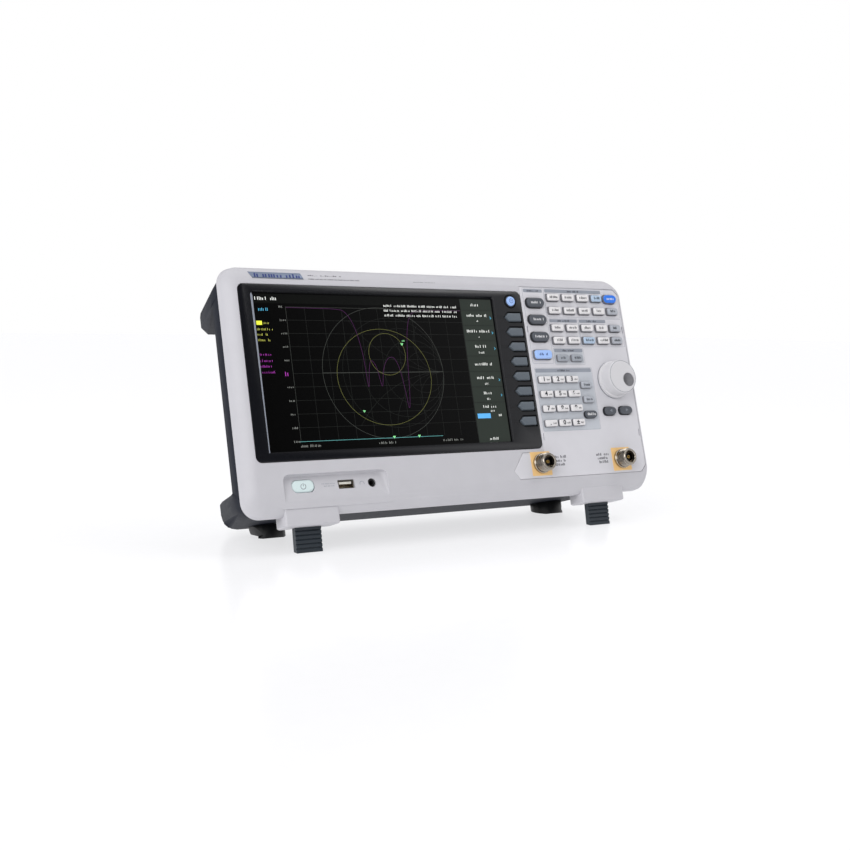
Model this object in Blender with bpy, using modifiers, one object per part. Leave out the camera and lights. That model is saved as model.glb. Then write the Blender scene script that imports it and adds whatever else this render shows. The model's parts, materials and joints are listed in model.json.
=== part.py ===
"""Portable bench spectrum and network analyzer, standing tilted back on two front legs and two rear feet.

Sizes are millimetres in the case's own axes: X to the user's right, Y from the front panel into the case,
Z up the panel. The panel's front plane is Y = 0 and the foot blocks end at Z = 0. Every object hangs from
one empty, which tilts the case back and stands it on the floor with the origin under its middle.
"""

from math import cos, pi, radians, sin, tan

import bmesh
import bpy
from mathutils import Matrix, Vector

MM = 0.001

# Stance
TILT_DEG = 16.6
FLOOR_DROP = 22.9  # from the case's own origin down to the floor, square to the floor
GAP = 0.3

# Case: front bezel and rear shell
CASE_HALF_WIDTH = 196.8
CASE_TOP = 207.0
BEZEL_BOTTOM = 7.9
BEZEL_BACK = 11.8
WALL = 2.5
SHELL_FRONT = BEZEL_BACK + GAP
SHELL_BOTTOM = 12.0
SHELL_TOP = 205.0
SHELL_BACK = 107.0
SHELL_BACK_HALF_WIDTH = 176.4
SHELL_RADIUS_LOW = 13.0
SHELL_RADIUS_HIGH = (20.0, 10.0)  # at the bezel and at the back
TAPER_FRONT = 25.0
CASE_DEPTH = 116.5
SCOOP_LOW, SCOOP_RISE, SCOOP_HIGH = 31.5, 5.0, 180.0
SCOOP_CUTS = (2.5, 6.0)  # chamfers along the scoop's lower and upper lips
SCOOP_BACK_HALF_WIDTH = 158.0
HANDLE_POCKET_HALF_WIDTH = 148.0
HANDLE_POCKET_FLOOR = 191.5
HANDLE_POCKET_FRONT = 44.0
REAR_OPENING = (-142.0, 142.0, 26.0, 180.0)  # left, right, bottom, top

# Front panel inserts
SURROUND = (-184.5, 82.2, 50.0, 191.2)
SURROUND_THICK = 2.0
WINDOW = (-173.1, 53.0, 57.0, 185.8)
PANEL_LEFT = 82.6
PANEL_RIGHT = 194.4
PANEL_TOP = 196.0
PANEL_BOTTOM = 24.0
PANEL_THICK = 2.5
PORT_RECESS = (-165.0, -74.5, 16.0, 39.8)
PORT_RECESS_DEPTH = 5.5

# Keys: each is (centre X, centre Z, width, height)
KEY_HEIGHT = 3.4
KEY_TAIL = 6.5
KEY_CLEARANCE = 0.35
MAT_FRONT, MAT_BACK = 3.2, 4.4
COLUMN_X = [116.7 + 16.8 * step for step in range(4)]
LAST_COLUMN_X = 183.0
ROW_Z = (186.4, 174.3, 158.1, 146.5)
SMALL_KEY = (13.4, 6.8)
LAST_KEY = (12.4, 6.8)
NUMBER_X = [93.8 + 15.2 * step for step in range(3)]
NUMBER_Z = [110.6 - 13.1 * step for step in range(4)]
NUMBER_KEY = (13.6, 6.6)
CONTROL_X = 96.3
CONTROL_Z = (181.1, 165.5, 149.7, 133.4)
CONTROL_KEY = (19.2, 9.2)
SOFTKEY_TIP, SOFTKEY_END = 62.3, 79.0
SOFTKEY_HEIGHT = 7.5
SOFTKEY_Z = [167.6 - 13.3 * step for step in range(8)]
SCREEN_BUTTON = (70.2, 182.0, 5.0)  # centre X, centre Z, radius
POWER_BUTTON = (-147.2, 30.6, 18.5, 9.7)

# Knob and connectors on the front
KNOB_X, KNOB_Z = 172.0, 109.5
KNOB_SKIRT_RADIUS, KNOB_NOSE_RADIUS, KNOB_FRONT = 17.3, 15.6, -15.0
SHAFT_RADIUS = 3.0
N_CONNECTOR_X = (77.7, 167.2)
N_CONNECTOR_Z = 36.5
USB_X, USB_Z = -110.0, 30.2
PHONES_X, PHONES_Z = -87.3, 30.0
SPEAKER = (-30.0, 38.0, 10.5)  # centre X, centre Z, radius

# Stand
BLOCK_NEAR, BLOCK_FAR = 119.4, 165.2
BLOCK_FRONT, BLOCK_BACK, BLOCK_TOP = 2.4, 23.0, 13.2
LEG_NEAR, LEG_FAR = 131.8, 154.0
LEG_HINGE_Y, LEG_HINGE_Z = 15.0, 4.2
LEG_BARREL_RADIUS = 3.1
LEG_FOOT_Y = 16.8
TRUNNION_RADIUS = 1.6
REAR_FOOT_X, REAR_FOOT_Y, REAR_FOOT_RADIUS = 143.6, 91.6, 14.8

REAR_FOOT_SLOPE = 55.0  # degrees, of the face cut across the foot's outer side

# Carrying handle
HANDLE_PIVOT_Y, HANDLE_PIVOT_Z = 52.0, 198.0
HANDLE_HALF_WIDTH, HANDLE_ARM, HANDLE_BACK = 143.0, 12.0, 101.0
HANDLE_THICK, HANDLE_END = 8.0, 4.8
HANDLE_PIN_RADIUS = 3.0

# Rear panel and what it carries
PLATE_FRONT, PLATE_BACK = 101.8, 103.6
REAR_ROW_Z = 46.0
FAN_X, FAN_Z, FAN_SIDE, FAN_BORE = 88.0, 122.0, 60.0, 28.0
FAN_FRONT, FAN_BACK = 84.0, 101.0
INLET_X, INLET_SIZE = -108.0, (27.0, 20.0)
LAN_X, USB_B_X = -28.0, 2.0
BNC_X = {"bnc_reference_in": 48.0, "bnc_reference_out": 76.0, "bnc_trigger": 104.0}

# Base colour, roughness, metallic
FINISHES = {
    "bezel_plastic": ((0.66, 0.67, 0.68), 0.5, 0.0),
    "slate_plastic": ((0.055, 0.061, 0.077), 0.5, 0.0),
    "surround_plastic": ((0.022, 0.024, 0.031), 0.4, 0.0),
    "screen_glass": ((0.004, 0.004, 0.006), 0.08, 0.0),
    "white_key": ((0.72, 0.71, 0.71), 0.5, 0.0),
    "grey_key": ((0.38, 0.41, 0.46), 0.5, 0.0),
    "dark_key": ((0.07, 0.077, 0.088), 0.5, 0.0),
    "soft_key": ((0.11, 0.12, 0.14), 0.5, 0.0),
    "pale_blue_key": ((0.4, 0.58, 0.95), 0.4, 0.0),
    "blue_key": ((0.012, 0.16, 0.75), 0.35, 0.0),
    "power_key": ((0.72, 0.82, 0.82), 0.3, 0.0),
    "knob_plastic": ((0.66, 0.66, 0.64), 0.45, 0.0),
    "leg_plastic": ((0.042, 0.051, 0.058), 0.55, 0.0),
    "foot_rubber": ((0.006, 0.006, 0.007), 0.6, 0.0),
    "nickel": ((0.6, 0.58, 0.55), 0.25, 1.0),
    "sheet_steel": ((0.55, 0.56, 0.57), 0.4, 1.0),
    "board_green": ((0.02, 0.16, 0.07), 0.5, 0.0),
    "socket_black": ((0.012, 0.012, 0.013), 0.5, 0.0),
}

for old in list(bpy.data.objects):
    bpy.data.objects.remove(old)

parts = bpy.data.collections.new("spectrum_analyzer")
cutters = bpy.data.collections.new("cutters")
for collection in (parts, cutters):
    bpy.context.scene.collection.children.link(collection)
cutters.hide_render = True

case = bpy.data.objects.new("case", None)
parts.objects.link(case)
case.rotation_euler.x = -radians(TILT_DEG)


def material(name):
    """The named finish as a Principled material, made once."""
    made = bpy.data.materials.get(name)
    if made:
        return made
    colour, roughness, metallic = FINISHES[name]
    made = bpy.data.materials.new(name)
    made.use_nodes = True
    shader = made.node_tree.nodes["Principled BSDF"]
    shader.inputs["Base Color"].default_value = (*colour, 1.0)
    shader.inputs["Roughness"].default_value = roughness
    shader.inputs["Metallic"].default_value = metallic
    return made


def object_from(bm, name, collection, origin=(0.0, 0.0, 0.0)):
    """An object in case axes from a bmesh in millimetres, with its origin moved to the given point."""
    bmesh.ops.recalc_face_normals(bm, faces=bm.faces[:])
    bmesh.ops.transform(bm, matrix=Matrix.Scale(MM, 4) @ Matrix.Translation(-Vector(origin)), verts=bm.verts[:])
    mesh = bpy.data.meshes.new(name)
    bm.to_mesh(mesh)
    bm.free()
    made = bpy.data.objects.new(name, mesh)
    collection.objects.link(made)
    made.parent = case
    made.location = Vector(origin) * MM
    return made


def part(bm, name, finish, origin=(0.0, 0.0, 0.0)):
    made = object_from(bm, name, parts, origin)
    made.data.materials.append(material(finish))
    made.data.shade_smooth()
    made.data.set_sharp_from_angle(angle=radians(30.0))
    return made


def boolean(target, bm, name, operation="DIFFERENCE"):
    """Cuts the bmesh from the target, or joins it on. The helper object stays in the cutters' collection."""
    helper = object_from(bm, name, cutters)
    helper.hide_render = True
    helper.display_type = "WIRE"
    modifier = target.modifiers.new(name, "BOOLEAN")
    modifier.operation = operation
    modifier.object = helper
    return modifier


def bevel(target, width, segments=2):
    modifier = target.modifiers.new("rounded_edges", "BEVEL")
    modifier.width = width * MM
    modifier.segments = segments
    modifier.limit_method = "ANGLE"
    modifier.angle_limit = radians(40.0)


def add_box(bm, low, high):
    centre = [(a + b) / 2 for a, b in zip(low, high)]
    size = [b - a for a, b in zip(low, high)]
    bmesh.ops.create_cube(bm, size=1.0, matrix=Matrix.Translation(centre) @ Matrix.Diagonal((*size, 1.0)))


def add_cylinder(bm, centre, radius, start, end, axis="Y", segments=32, end_radius=None):
    """A cylinder or cone along one case axis, between two positions on it; centre holds the other two."""
    turn = {
        "X": Matrix.Rotation(pi / 2, 4, "Y"),
        "Y": Matrix.Rotation(-pi / 2, 4, "X"),
        "Z": Matrix.Identity(4),
    }[axis]
    place = list(centre)
    place.insert("XYZ".index(axis), (start + end) / 2)
    bmesh.ops.create_cone(
        bm,
        cap_ends=True,
        segments=segments,
        radius1=radius,
        radius2=radius if end_radius is None else end_radius,
        depth=end - start,
        matrix=Matrix.Translation(place) @ turn,
    )


def rounded_rectangle(left, right, bottom, top, radius, steps=3):
    """The outline's points, anticlockwise from the bottom right corner, each corner an arc of equal steps."""
    points = []
    corners = (
        (right - radius, bottom + radius, -90),
        (right - radius, top - radius, 0),
        (left + radius, top - radius, 90),
        (left + radius, bottom + radius, 180),
    )
    for x, z, first in corners:
        for step in range(steps + 1):
            angle = radians(first + 90 * step / steps)
            points.append((x + radius * cos(angle), z + radius * sin(angle)))
    return points


def circle(x, z, radius, segments=32):
    turns = [2 * pi * step / segments for step in range(segments)]
    return [(x + radius * cos(turn), z + radius * sin(turn)) for turn in turns]


def add_prism(bm, outline, front, back, chamfer=0.0):
    """An outline in X and Z, extruded from front to back along Y, with its front edge chamfered."""
    face = bm.faces.new([bm.verts.new((x, front, z)) for x, z in outline])
    grown = bmesh.ops.extrude_face_region(bm, geom=[face], use_keep_orig=True)["geom"]
    bmesh.ops.translate(
        bm, vec=(0.0, back - front, 0.0), verts=[item for item in grown if isinstance(item, bmesh.types.BMVert)]
    )
    if chamfer:
        bmesh.ops.bevel(bm, geom=list(face.edges), offset=chamfer, segments=1, affect="EDGES", profile=0.5)


def add_loft(bm, rings, close_front=True, close_back=True):
    """A skin through rings of points, each ring a Y and an outline in X and Z with the same point count."""
    rows = [[bm.verts.new((x, y, z)) for x, z in outline] for y, outline in rings]
    for near, far in zip(rows, rows[1:]):
        for index in range(len(near)):
            following = (index + 1) % len(near)
            bm.faces.new((near[index], near[following], far[following], far[index]))
    if close_front:
        bm.faces.new(rows[0])
    if close_back:
        bm.faces.new(rows[-1])


def box_part(name, finish, low, high):
    bm = bmesh.new()
    add_box(bm, low, high)
    return part(bm, name, finish)


def grown(rectangle, margin):
    left, right, bottom, top = rectangle
    return left - margin, right + margin, bottom - margin, top + margin


def key_rectangle(key, margin=0.0):
    x, z, width, height = key
    return grown((x - width / 2, x + width / 2, z - height / 2, z + height / 2), margin)


# ---- Keys ----


def row_of_keys(z):
    return [(x, z, *SMALL_KEY) for x in COLUMN_X] + [(LAST_COLUMN_X, z, *LAST_KEY)]


# Keys that share one silicone mat, and move with it.
KEY_MATS = {
    "setting_keys_upper": ("white_key", row_of_keys(ROW_Z[0])[:3] + [(166.2, ROW_Z[0], 12.2, 6.8)]),
    "setting_keys_lower": ("white_key", row_of_keys(ROW_Z[1])),
    "marker_function_keys_upper": ("white_key", row_of_keys(ROW_Z[2])),
    "marker_function_keys_lower": ("white_key", row_of_keys(ROW_Z[3])),
    "measure_keys": ("grey_key", [(x, 130.1, 12.6, 6.8) for x in (117.6, 133.4)]),
    "number_keys": ("white_key", [(x, z, *NUMBER_KEY) for z in NUMBER_Z for x in NUMBER_X]),
}

# Keys with a cap of their own: finish, key, corner radius.
SINGLE_KEYS = {
    "frequency_key": ("dark_key", (CONTROL_X, CONTROL_Z[0], *CONTROL_KEY), 4.3),
    "span_key": ("dark_key", (CONTROL_X, CONTROL_Z[1], *CONTROL_KEY), 4.3),
    "amplitude_key": ("dark_key", (CONTROL_X, CONTROL_Z[2], *CONTROL_KEY), 4.3),
    "auto_tune_key": ("pale_blue_key", (CONTROL_X, CONTROL_Z[3], 19.2, 8.6), 2.6),
    "preset_key": ("blue_key", (182.1, 186.2, 15.0, 8.4), 3.9),
    "back_key": ("grey_key", (139.0, 105.1, 12.2, 6.6), 1.4),
    "escape_key": ("grey_key", (139.4, 91.7, 11.8, 6.6), 1.4),
    "enter_key": ("dark_key", (139.1, 78.1, 14.0, 7.4), 3.5),
    "arrow_key_left": ("dark_key", (161.9, 80.6, 13.6, 7.8), 3.7),
    "arrow_key_right": ("dark_key", (180.1, 80.8, 14.6, 7.8), 3.7),
}


def add_key_cap(bm, key, radius, front=-KEY_HEIGHT, tail=KEY_TAIL):
    add_prism(bm, rounded_rectangle(*key_rectangle(key), radius, 2), front, tail, chamfer=0.7)


def build_keys():
    for name, (finish, keys) in KEY_MATS.items():
        bm = bmesh.new()
        left, _, bottom, _ = key_rectangle(keys[0], 1.2)
        sides = [key_rectangle(key, 1.2) for key in keys]
        bottom = min(side[2] for side in sides)
        top = max(side[3] for side in sides)
        right = key_rectangle(keys[-1])[1] - 1.2
        add_box(bm, (left, MAT_FRONT, bottom), (right, MAT_BACK, top))
        mat = part(bm, name, finish)
        caps = bmesh.new()
        for key in keys:
            add_key_cap(caps, key, 1.4)
        boolean(mat, caps, name + "_caps", "UNION")
    for name, (finish, key, radius) in SINGLE_KEYS.items():
        bm = bmesh.new()
        add_key_cap(bm, key, radius)
        part(bm, name, finish, origin=(key[0], 0.0, key[1]))
    for number, z in enumerate(SOFTKEY_Z, 1):
        bm = bmesh.new()
        add_prism(bm, softkey_outline(z, 0.0), -1.6, KEY_TAIL, chamfer=0.5)
        part(bm, f"softkey_{number}", "soft_key", origin=(SOFTKEY_END, 0.0, z))
    x, z, radius = SCREEN_BUTTON
    bm = bmesh.new()
    rings = ((-2.2, radius - 0.8), (-1.4, radius), (KEY_TAIL, radius))
    add_loft(bm, [(y, circle(x, z, width, 24)) for y, width in rings])
    part(bm, "screen_button", "pale_blue_key", origin=(x, 0.0, z))
    bm = bmesh.new()
    add_key_cap(bm, POWER_BUTTON, 4.2, front=3.3, tail=11.5)
    part(bm, "power_button", "power_key", origin=(POWER_BUTTON[0], 0.0, POWER_BUTTON[1]))


def softkey_outline(z, margin):
    half = SOFTKEY_HEIGHT / 2 + margin
    tip, end = SOFTKEY_TIP - margin, SOFTKEY_END + margin
    return [(tip, z), (tip + half, z - half), (end, z - half), (end, z + half), (tip + half, z + half)]


# ---- Front: bezel, surround, display, key panel ----


def panel_outline(margin=0.0):
    """The key panel's outline: a tall plate with a low wing that runs left around the first connector."""
    left, right = PANEL_LEFT - margin, PANEL_RIGHT + margin
    bottom, top = PANEL_BOTTOM - margin, PANEL_TOP + margin
    wing_top = 46.5 + margin
    return [
        (54.0 - margin, bottom),
        (right - 6.0, bottom),
        (right, bottom + 6.0),
        (right, top - 6.0),
        (right - 6.0, top),
        (left, top),
        (left, wing_top),
        (60.0 - margin, wing_top),
        (48.6 - margin, 31.0),
    ]


def build_bezel():
    skin = (
        (0.0, -185.3, 195.9, 23.0, 196.6, 8.0),
        (1.0, -188.6, 196.5, 17.5, 200.0, 11.0),
        (3.2, -192.3, 196.8, 12.0, 203.6, 13.5),
        (6.5, -195.6, 196.8, 8.4, 206.2, 14.5),
        (BEZEL_BACK, -CASE_HALF_WIDTH, CASE_HALF_WIDTH, BEZEL_BOTTOM, CASE_TOP, 14.0),
    )
    bm = bmesh.new()
    add_loft(bm, [(y, rounded_rectangle(*outline, steps=5)) for y, *outline in skin])
    bezel = part(bm, "front_bezel", "bezel_plastic")

    hollow = bmesh.new()
    inner = (
        (WALL, -182.0, 191.5, 27.0, 193.0, 8.0),
        (BEZEL_BACK + 1.0, -194.0, 194.0, 10.4, 204.5, 13.5),
    )
    add_loft(hollow, [(y, rounded_rectangle(*outline, steps=5)) for y, *outline in inner])
    boolean(bezel, hollow, "bezel_hollow")

    added = bmesh.new()
    left, right, bottom, top = grown(PORT_RECESS, WALL)
    add_box(added, (left, 1.8, bottom), (right, PORT_RECESS_DEPTH + WALL, top))
    for side in (-1, 1):
        x = sorted((side * BLOCK_NEAR, side * BLOCK_FAR))
        behind = SHELL_BOTTOM - GAP
        tops = ((BLOCK_FRONT, BLOCK_TOP), (BEZEL_BACK - 1.5, BLOCK_TOP), (BEZEL_BACK, behind), (BLOCK_BACK, behind))
        add_loft(added, [(y, [(x[0], 0.0), (x[1], 0.0), (x[1], top), (x[0], top)]) for y, top in tops])
    boolean(bezel, added, "bezel_pan_and_blocks", "UNION")

    openings = bmesh.new()
    add_prism(openings, rounded_rectangle(*grown(SURROUND, GAP), 5.0), -2.0, 6.0)
    boolean(bezel, openings, "surround_opening")
    openings = bmesh.new()
    add_prism(openings, panel_outline(GAP), -2.0, 6.0)
    boolean(bezel, openings, "panel_opening")

    ports = bmesh.new()
    add_prism(ports, rounded_rectangle(*PORT_RECESS, 5.0), -2.0, PORT_RECESS_DEPTH)
    boolean(bezel, ports, "port_recess")
    holes = bmesh.new()
    add_prism(holes, rounded_rectangle(*key_rectangle(POWER_BUTTON, KEY_CLEARANCE), 4.5, 2), 4.0, 10.0)
    add_box(holes, (USB_X - 7.3, 4.0, USB_Z - 3.6), (USB_X + 7.3, 10.0, USB_Z + 3.6))
    add_cylinder(holes, (PHONES_X, PHONES_Z), 3.6, 4.0, 10.0, segments=24)
    for side in (-1, 1):
        x = sorted((side * (LEG_NEAR - 0.4), side * (LEG_FAR + 0.4)))
        add_box(holes, (x[0], LEG_HINGE_Y - LEG_BARREL_RADIUS - 0.4, -2.0), (x[1], BLOCK_BACK + 5.0, 9.0))
    boolean(bezel, holes, "bezel_holes")
    hinge_holes = bmesh.new()
    for side in (-1, 1):
        x = sorted((side * (LEG_NEAR - 3.7), side * (LEG_FAR + 3.7)))
        add_cylinder(hinge_holes, (LEG_HINGE_Y, LEG_HINGE_Z), TRUNNION_RADIUS + GAP, *x, axis="X", segments=16)
    boolean(bezel, hinge_holes, "leg_hinge_holes")


def build_display():
    bm = bmesh.new()
    add_prism(bm, rounded_rectangle(*SURROUND, 5.0), 0.0, SURROUND_THICK)
    surround = part(bm, "screen_surround", "surround_plastic")
    holes = bmesh.new()
    add_prism(holes, rounded_rectangle(*WINDOW, 1.5, 2), -1.0, 4.0)
    for z in SOFTKEY_Z:
        add_prism(holes, softkey_outline(z, KEY_CLEARANCE), -1.0, 4.0)
    add_cylinder(holes, SCREEN_BUTTON[:2], SCREEN_BUTTON[2] + KEY_CLEARANCE, -1.0, 4.0, segments=24)
    boolean(surround, holes, "surround_holes")

    left, right, bottom, top = grown(WINDOW, 3.5)
    glass_front = SURROUND_THICK + GAP
    box_part("display_glass", "screen_glass", (left, glass_front, bottom), (right, glass_front + 1.4, top))
    module_front = glass_front + 1.4 + GAP
    box_part("display_module", "sheet_steel", (left, module_front, bottom), (right, module_front + 6.5, top))


def build_key_panel():
    bm = bmesh.new()
    add_prism(bm, panel_outline(), 0.0, PANEL_THICK)
    panel = part(bm, "keypad_panel", "bezel_plastic")
    holes = bmesh.new()
    keys = [key for _, mat in KEY_MATS.values() for key in mat] + [key for _, key, _ in SINGLE_KEYS.values()]
    for key in keys:
        left, right, bottom, top = key_rectangle(key, KEY_CLEARANCE / 2)
        add_box(holes, (left, -1.0, bottom), (right, 4.0, top))
    add_cylinder(holes, (KNOB_X, KNOB_Z), SHAFT_RADIUS + 0.8, -1.0, 4.0, segments=24)
    for x in N_CONNECTOR_X:
        add_cylinder(holes, (x, N_CONNECTOR_Z), 6.8, -1.0, 4.0, segments=24)
    boolean(panel, holes, "panel_holes")

    bm = bmesh.new()
    add_box(bm, (86.0, 8.2, 62.0), (190.0, 9.8, 192.0))
    part(bm, "key_board", "board_green")


def build_knob():
    """The tuning knob with its shaft, turning in the encoder behind the panel."""
    bm = bmesh.new()
    axis = (KNOB_X, KNOB_Z)
    steps = ((KNOB_FRONT, 1.2), (KNOB_FRONT + 1.2, 0.0), (-3.6, None), (-0.6, None))
    radii = [KNOB_NOSE_RADIUS - step if step is not None else KNOB_SKIRT_RADIUS for _, step in steps]
    rings = [(y, circle(*axis, radius)) for (y, _), radius in zip(steps, radii)]
    add_loft(bm, rings)
    knob = part(bm, "tuning_knob", "knob_plastic", origin=(KNOB_X, 0.0, KNOB_Z))
    shaft = bmesh.new()
    add_cylinder(shaft, axis, SHAFT_RADIUS, -4.0, 6.4, segments=24)
    boolean(knob, shaft, "knob_shaft", "UNION")
    dimple = bmesh.new()
    bmesh.ops.create_uvsphere(
        dimple, u_segments=16, v_segments=10, radius=8.0,
        matrix=Matrix.Translation((KNOB_X + 6.2, KNOB_FRONT - 3.8, KNOB_Z - 3.6)),
    )
    boolean(knob, dimple, "knob_dimple")

    bm = bmesh.new()
    add_box(bm, (KNOB_X - 6.5, PANEL_THICK + GAP, KNOB_Z - 6.5), (KNOB_X + 6.5, 7.9, KNOB_Z + 6.5))
    encoder = part(bm, "encoder", "socket_black")
    bore = bmesh.new()
    add_cylinder(bore, axis, SHAFT_RADIUS + 0.15, 1.0, 6.9, segments=24)
    boolean(encoder, bore, "encoder_bore")


def build_front_connectors():
    for side, x in zip(("left", "right"), N_CONNECTOR_X):
        axis = (x, N_CONNECTOR_Z)
        bm = bmesh.new()
        add_cylinder(bm, axis, 8.6, -3.0, -GAP)
        connector = part(bm, f"n_connector_{side}", "nickel")
        barrel = bmesh.new()
        rings = ((-13.0, 7.0), (-12.4, 7.4), (-10.6, 7.4), (-10.4, 7.9), (-2.0, 7.9))
        add_loft(barrel, [(y, circle(*axis, radius)) for y, radius in rings])
        boolean(connector, barrel, f"n_barrel_{side}", "UNION")
        tail = bmesh.new()
        add_cylinder(tail, axis, 6.4, -1.0, 12.5, segments=24)
        boolean(connector, tail, f"n_tail_{side}", "UNION")
        bore = bmesh.new()
        add_cylinder(bore, axis, 5.2, -14.0, -4.0, segments=24)
        boolean(connector, bore, f"n_bore_{side}")
        contact = bmesh.new()
        add_cylinder(contact, axis, 1.6, -10.5, -3.0, segments=12)
        boolean(connector, contact, f"n_contact_{side}", "UNION")

    bm = bmesh.new()
    add_box(bm, (USB_X - 7.0, 5.0, USB_Z - 3.3), (USB_X + 7.0, 22.0, USB_Z + 3.3))
    usb = part(bm, "usb_socket", "nickel")
    mouth = bmesh.new()
    add_box(mouth, (USB_X - 6.2, 4.0, USB_Z - 2.6), (USB_X + 6.2, 15.0, USB_Z + 2.6))
    boolean(usb, mouth, "usb_mouth")
    tongue = bmesh.new()
    add_box(tongue, (USB_X - 5.4, 6.2, USB_Z + 0.5), (USB_X + 5.4, 16.0, USB_Z + 2.3))
    boolean(usb, tongue, "usb_tongue", "UNION")

    bm = bmesh.new()
    add_cylinder(bm, (PHONES_X, PHONES_Z), 3.3, 4.7, 20.0, segments=24)
    jack = part(bm, "headphone_jack", "socket_black")
    bore = bmesh.new()
    add_cylinder(bore, (PHONES_X, PHONES_Z), 1.8, 4.0, 16.0, segments=24)
    boolean(jack, bore, "headphone_bore")

    bm = bmesh.new()
    add_cylinder(bm, SPEAKER[:2], SPEAKER[2], 3.8, 10.5, segments=24)
    part(bm, "speaker", "socket_black")


# ---- Stand ----


def floor_height(y):
    """The case's own height of the floor it stands on, at a depth."""
    return y * tan(radians(TILT_DEG)) - FLOOR_DROP / cos(radians(TILT_DEG))


def cut_at_floor(target, name):
    """Cuts off what is below the floor that the tilted case stands on, so that the piece stands flat."""
    bm = bmesh.new()
    add_box(bm, (-250.0, -50.0, -FLOOR_DROP - 40.0), (250.0, 250.0, -FLOOR_DROP))
    bmesh.ops.rotate(bm, verts=bm.verts[:], cent=(0.0, 0.0, 0.0), matrix=Matrix.Rotation(radians(TILT_DEG), 3, "X"))
    boolean(target, bm, name + "_floor")


def leg_outline():
    """The leg's side view: a round barrel on the hinge and a straight blade down to the floor, as (Y, Z)."""
    barrel = [
        (LEG_HINGE_Y + LEG_BARREL_RADIUS * cos(angle), LEG_HINGE_Z + LEG_BARREL_RADIUS * sin(angle))
        for angle in (radians(180 * step / 8) for step in range(9))
    ]
    below = LEG_HINGE_Z - 28.0
    return barrel + [(LEG_FOOT_Y - 2.7, below), (LEG_FOOT_Y + 3.3, below)]


def build_stand():
    for side, name in ((-1, "left"), (1, "right")):
        x = sorted((side * LEG_NEAR, side * LEG_FAR))
        bm = bmesh.new()
        face = bm.faces.new([bm.verts.new((x[0], y, z)) for y, z in leg_outline()])
        grown_face = bmesh.ops.extrude_face_region(bm, geom=[face], use_keep_orig=True)["geom"]
        moved = [item for item in grown_face if isinstance(item, bmesh.types.BMVert)]
        bmesh.ops.translate(bm, vec=(x[1] - x[0], 0.0, 0.0), verts=moved)
        leg = part(bm, f"front_leg_{name}", "leg_plastic", origin=(side * LEG_NEAR, LEG_HINGE_Y, LEG_HINGE_Z))
        trunnions = bmesh.new()
        add_cylinder(
            trunnions, (LEG_HINGE_Y, LEG_HINGE_Z), TRUNNION_RADIUS, x[0] - 3.2, x[1] + 3.2, axis="X", segments=16
        )
        boolean(leg, trunnions, f"leg_trunnions_{name}", "UNION")
        cut_at_floor(leg, f"leg_{name}")

        bm = bmesh.new()
        add_cylinder(bm, (side * REAR_FOOT_X, REAR_FOOT_Y), REAR_FOOT_RADIUS, 0.0, SHELL_BOTTOM - GAP, axis="Z")
        foot = part(bm, f"rear_foot_{name}", "foot_rubber")
        cut_at_floor(foot, f"rear_foot_{name}")
        slope = bmesh.new()
        add_box(slope, (min(0.0, side * 40.0), -60.0, -40.0), (max(0.0, side * 40.0), 60.0, 0.0))
        turn = Matrix.Rotation(radians(-side * REAR_FOOT_SLOPE), 3, "Y")
        bmesh.ops.rotate(slope, verts=slope.verts[:], cent=(0.0, 0.0, 0.0), matrix=turn)
        start = Vector((side * (REAR_FOOT_X + 8.5), REAR_FOOT_Y, floor_height(REAR_FOOT_Y)))
        bmesh.ops.translate(slope, verts=slope.verts[:], vec=start)
        boolean(foot, slope, f"rear_foot_slope_{name}")


# ---- Rear shell and handle ----


def taper(y):
    """How far the shell has tapered at a depth: 0 behind the bezel, 1 at the back."""
    return max(0.0, y - TAPER_FRONT) / (SHELL_BACK - TAPER_FRONT)


def narrowed(y, back_half_width):
    return CASE_HALF_WIDTH + taper(y) * (back_half_width - CASE_HALF_WIDTH)


def shell_outline(y, pocket_floor, inset=0.0):
    """A rounded section with a scoop in each side and the handle's pocket in its top, or its inner wall."""
    half = narrowed(y, SHELL_BACK_HALF_WIDTH) - inset
    waist = narrowed(y, SCOOP_BACK_HALF_WIDTH) - inset
    bottom, top = SHELL_BOTTOM + inset, SHELL_TOP - inset
    low = SCOOP_LOW + SCOOP_RISE * taper(y) - inset
    high = SCOOP_HIGH + inset
    pocket = HANDLE_POCKET_HALF_WIDTH + inset
    depth = (y - SHELL_FRONT) / (SHELL_BACK - SHELL_FRONT)
    at_bezel, at_back = SHELL_RADIUS_HIGH
    under, over = SHELL_RADIUS_LOW - inset, at_bezel + depth * (at_back - at_bezel) - inset
    turns = [radians(22.5 * step) for step in range(5)]
    right = [(half - under + under * sin(turn), bottom + under - under * cos(turn)) for turn in turns]
    under_cut, over_cut = (min(cut, 0.3 * (half - waist)) for cut in SCOOP_CUTS)
    right += [(half, low - 0.4 - under_cut), (half - under_cut, low - 0.2), (waist, low)]
    right += [(waist, high), (half - over_cut, high + 0.2), (half, high + 0.4 + over_cut)]
    right += [(half - over + over * cos(turn), top - over + over * sin(turn)) for turn in turns]
    right += [(pocket + 3.0, top), (pocket, pocket_floor - inset)]
    return right + [(-x, z) for x, z in reversed(right)]


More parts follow.
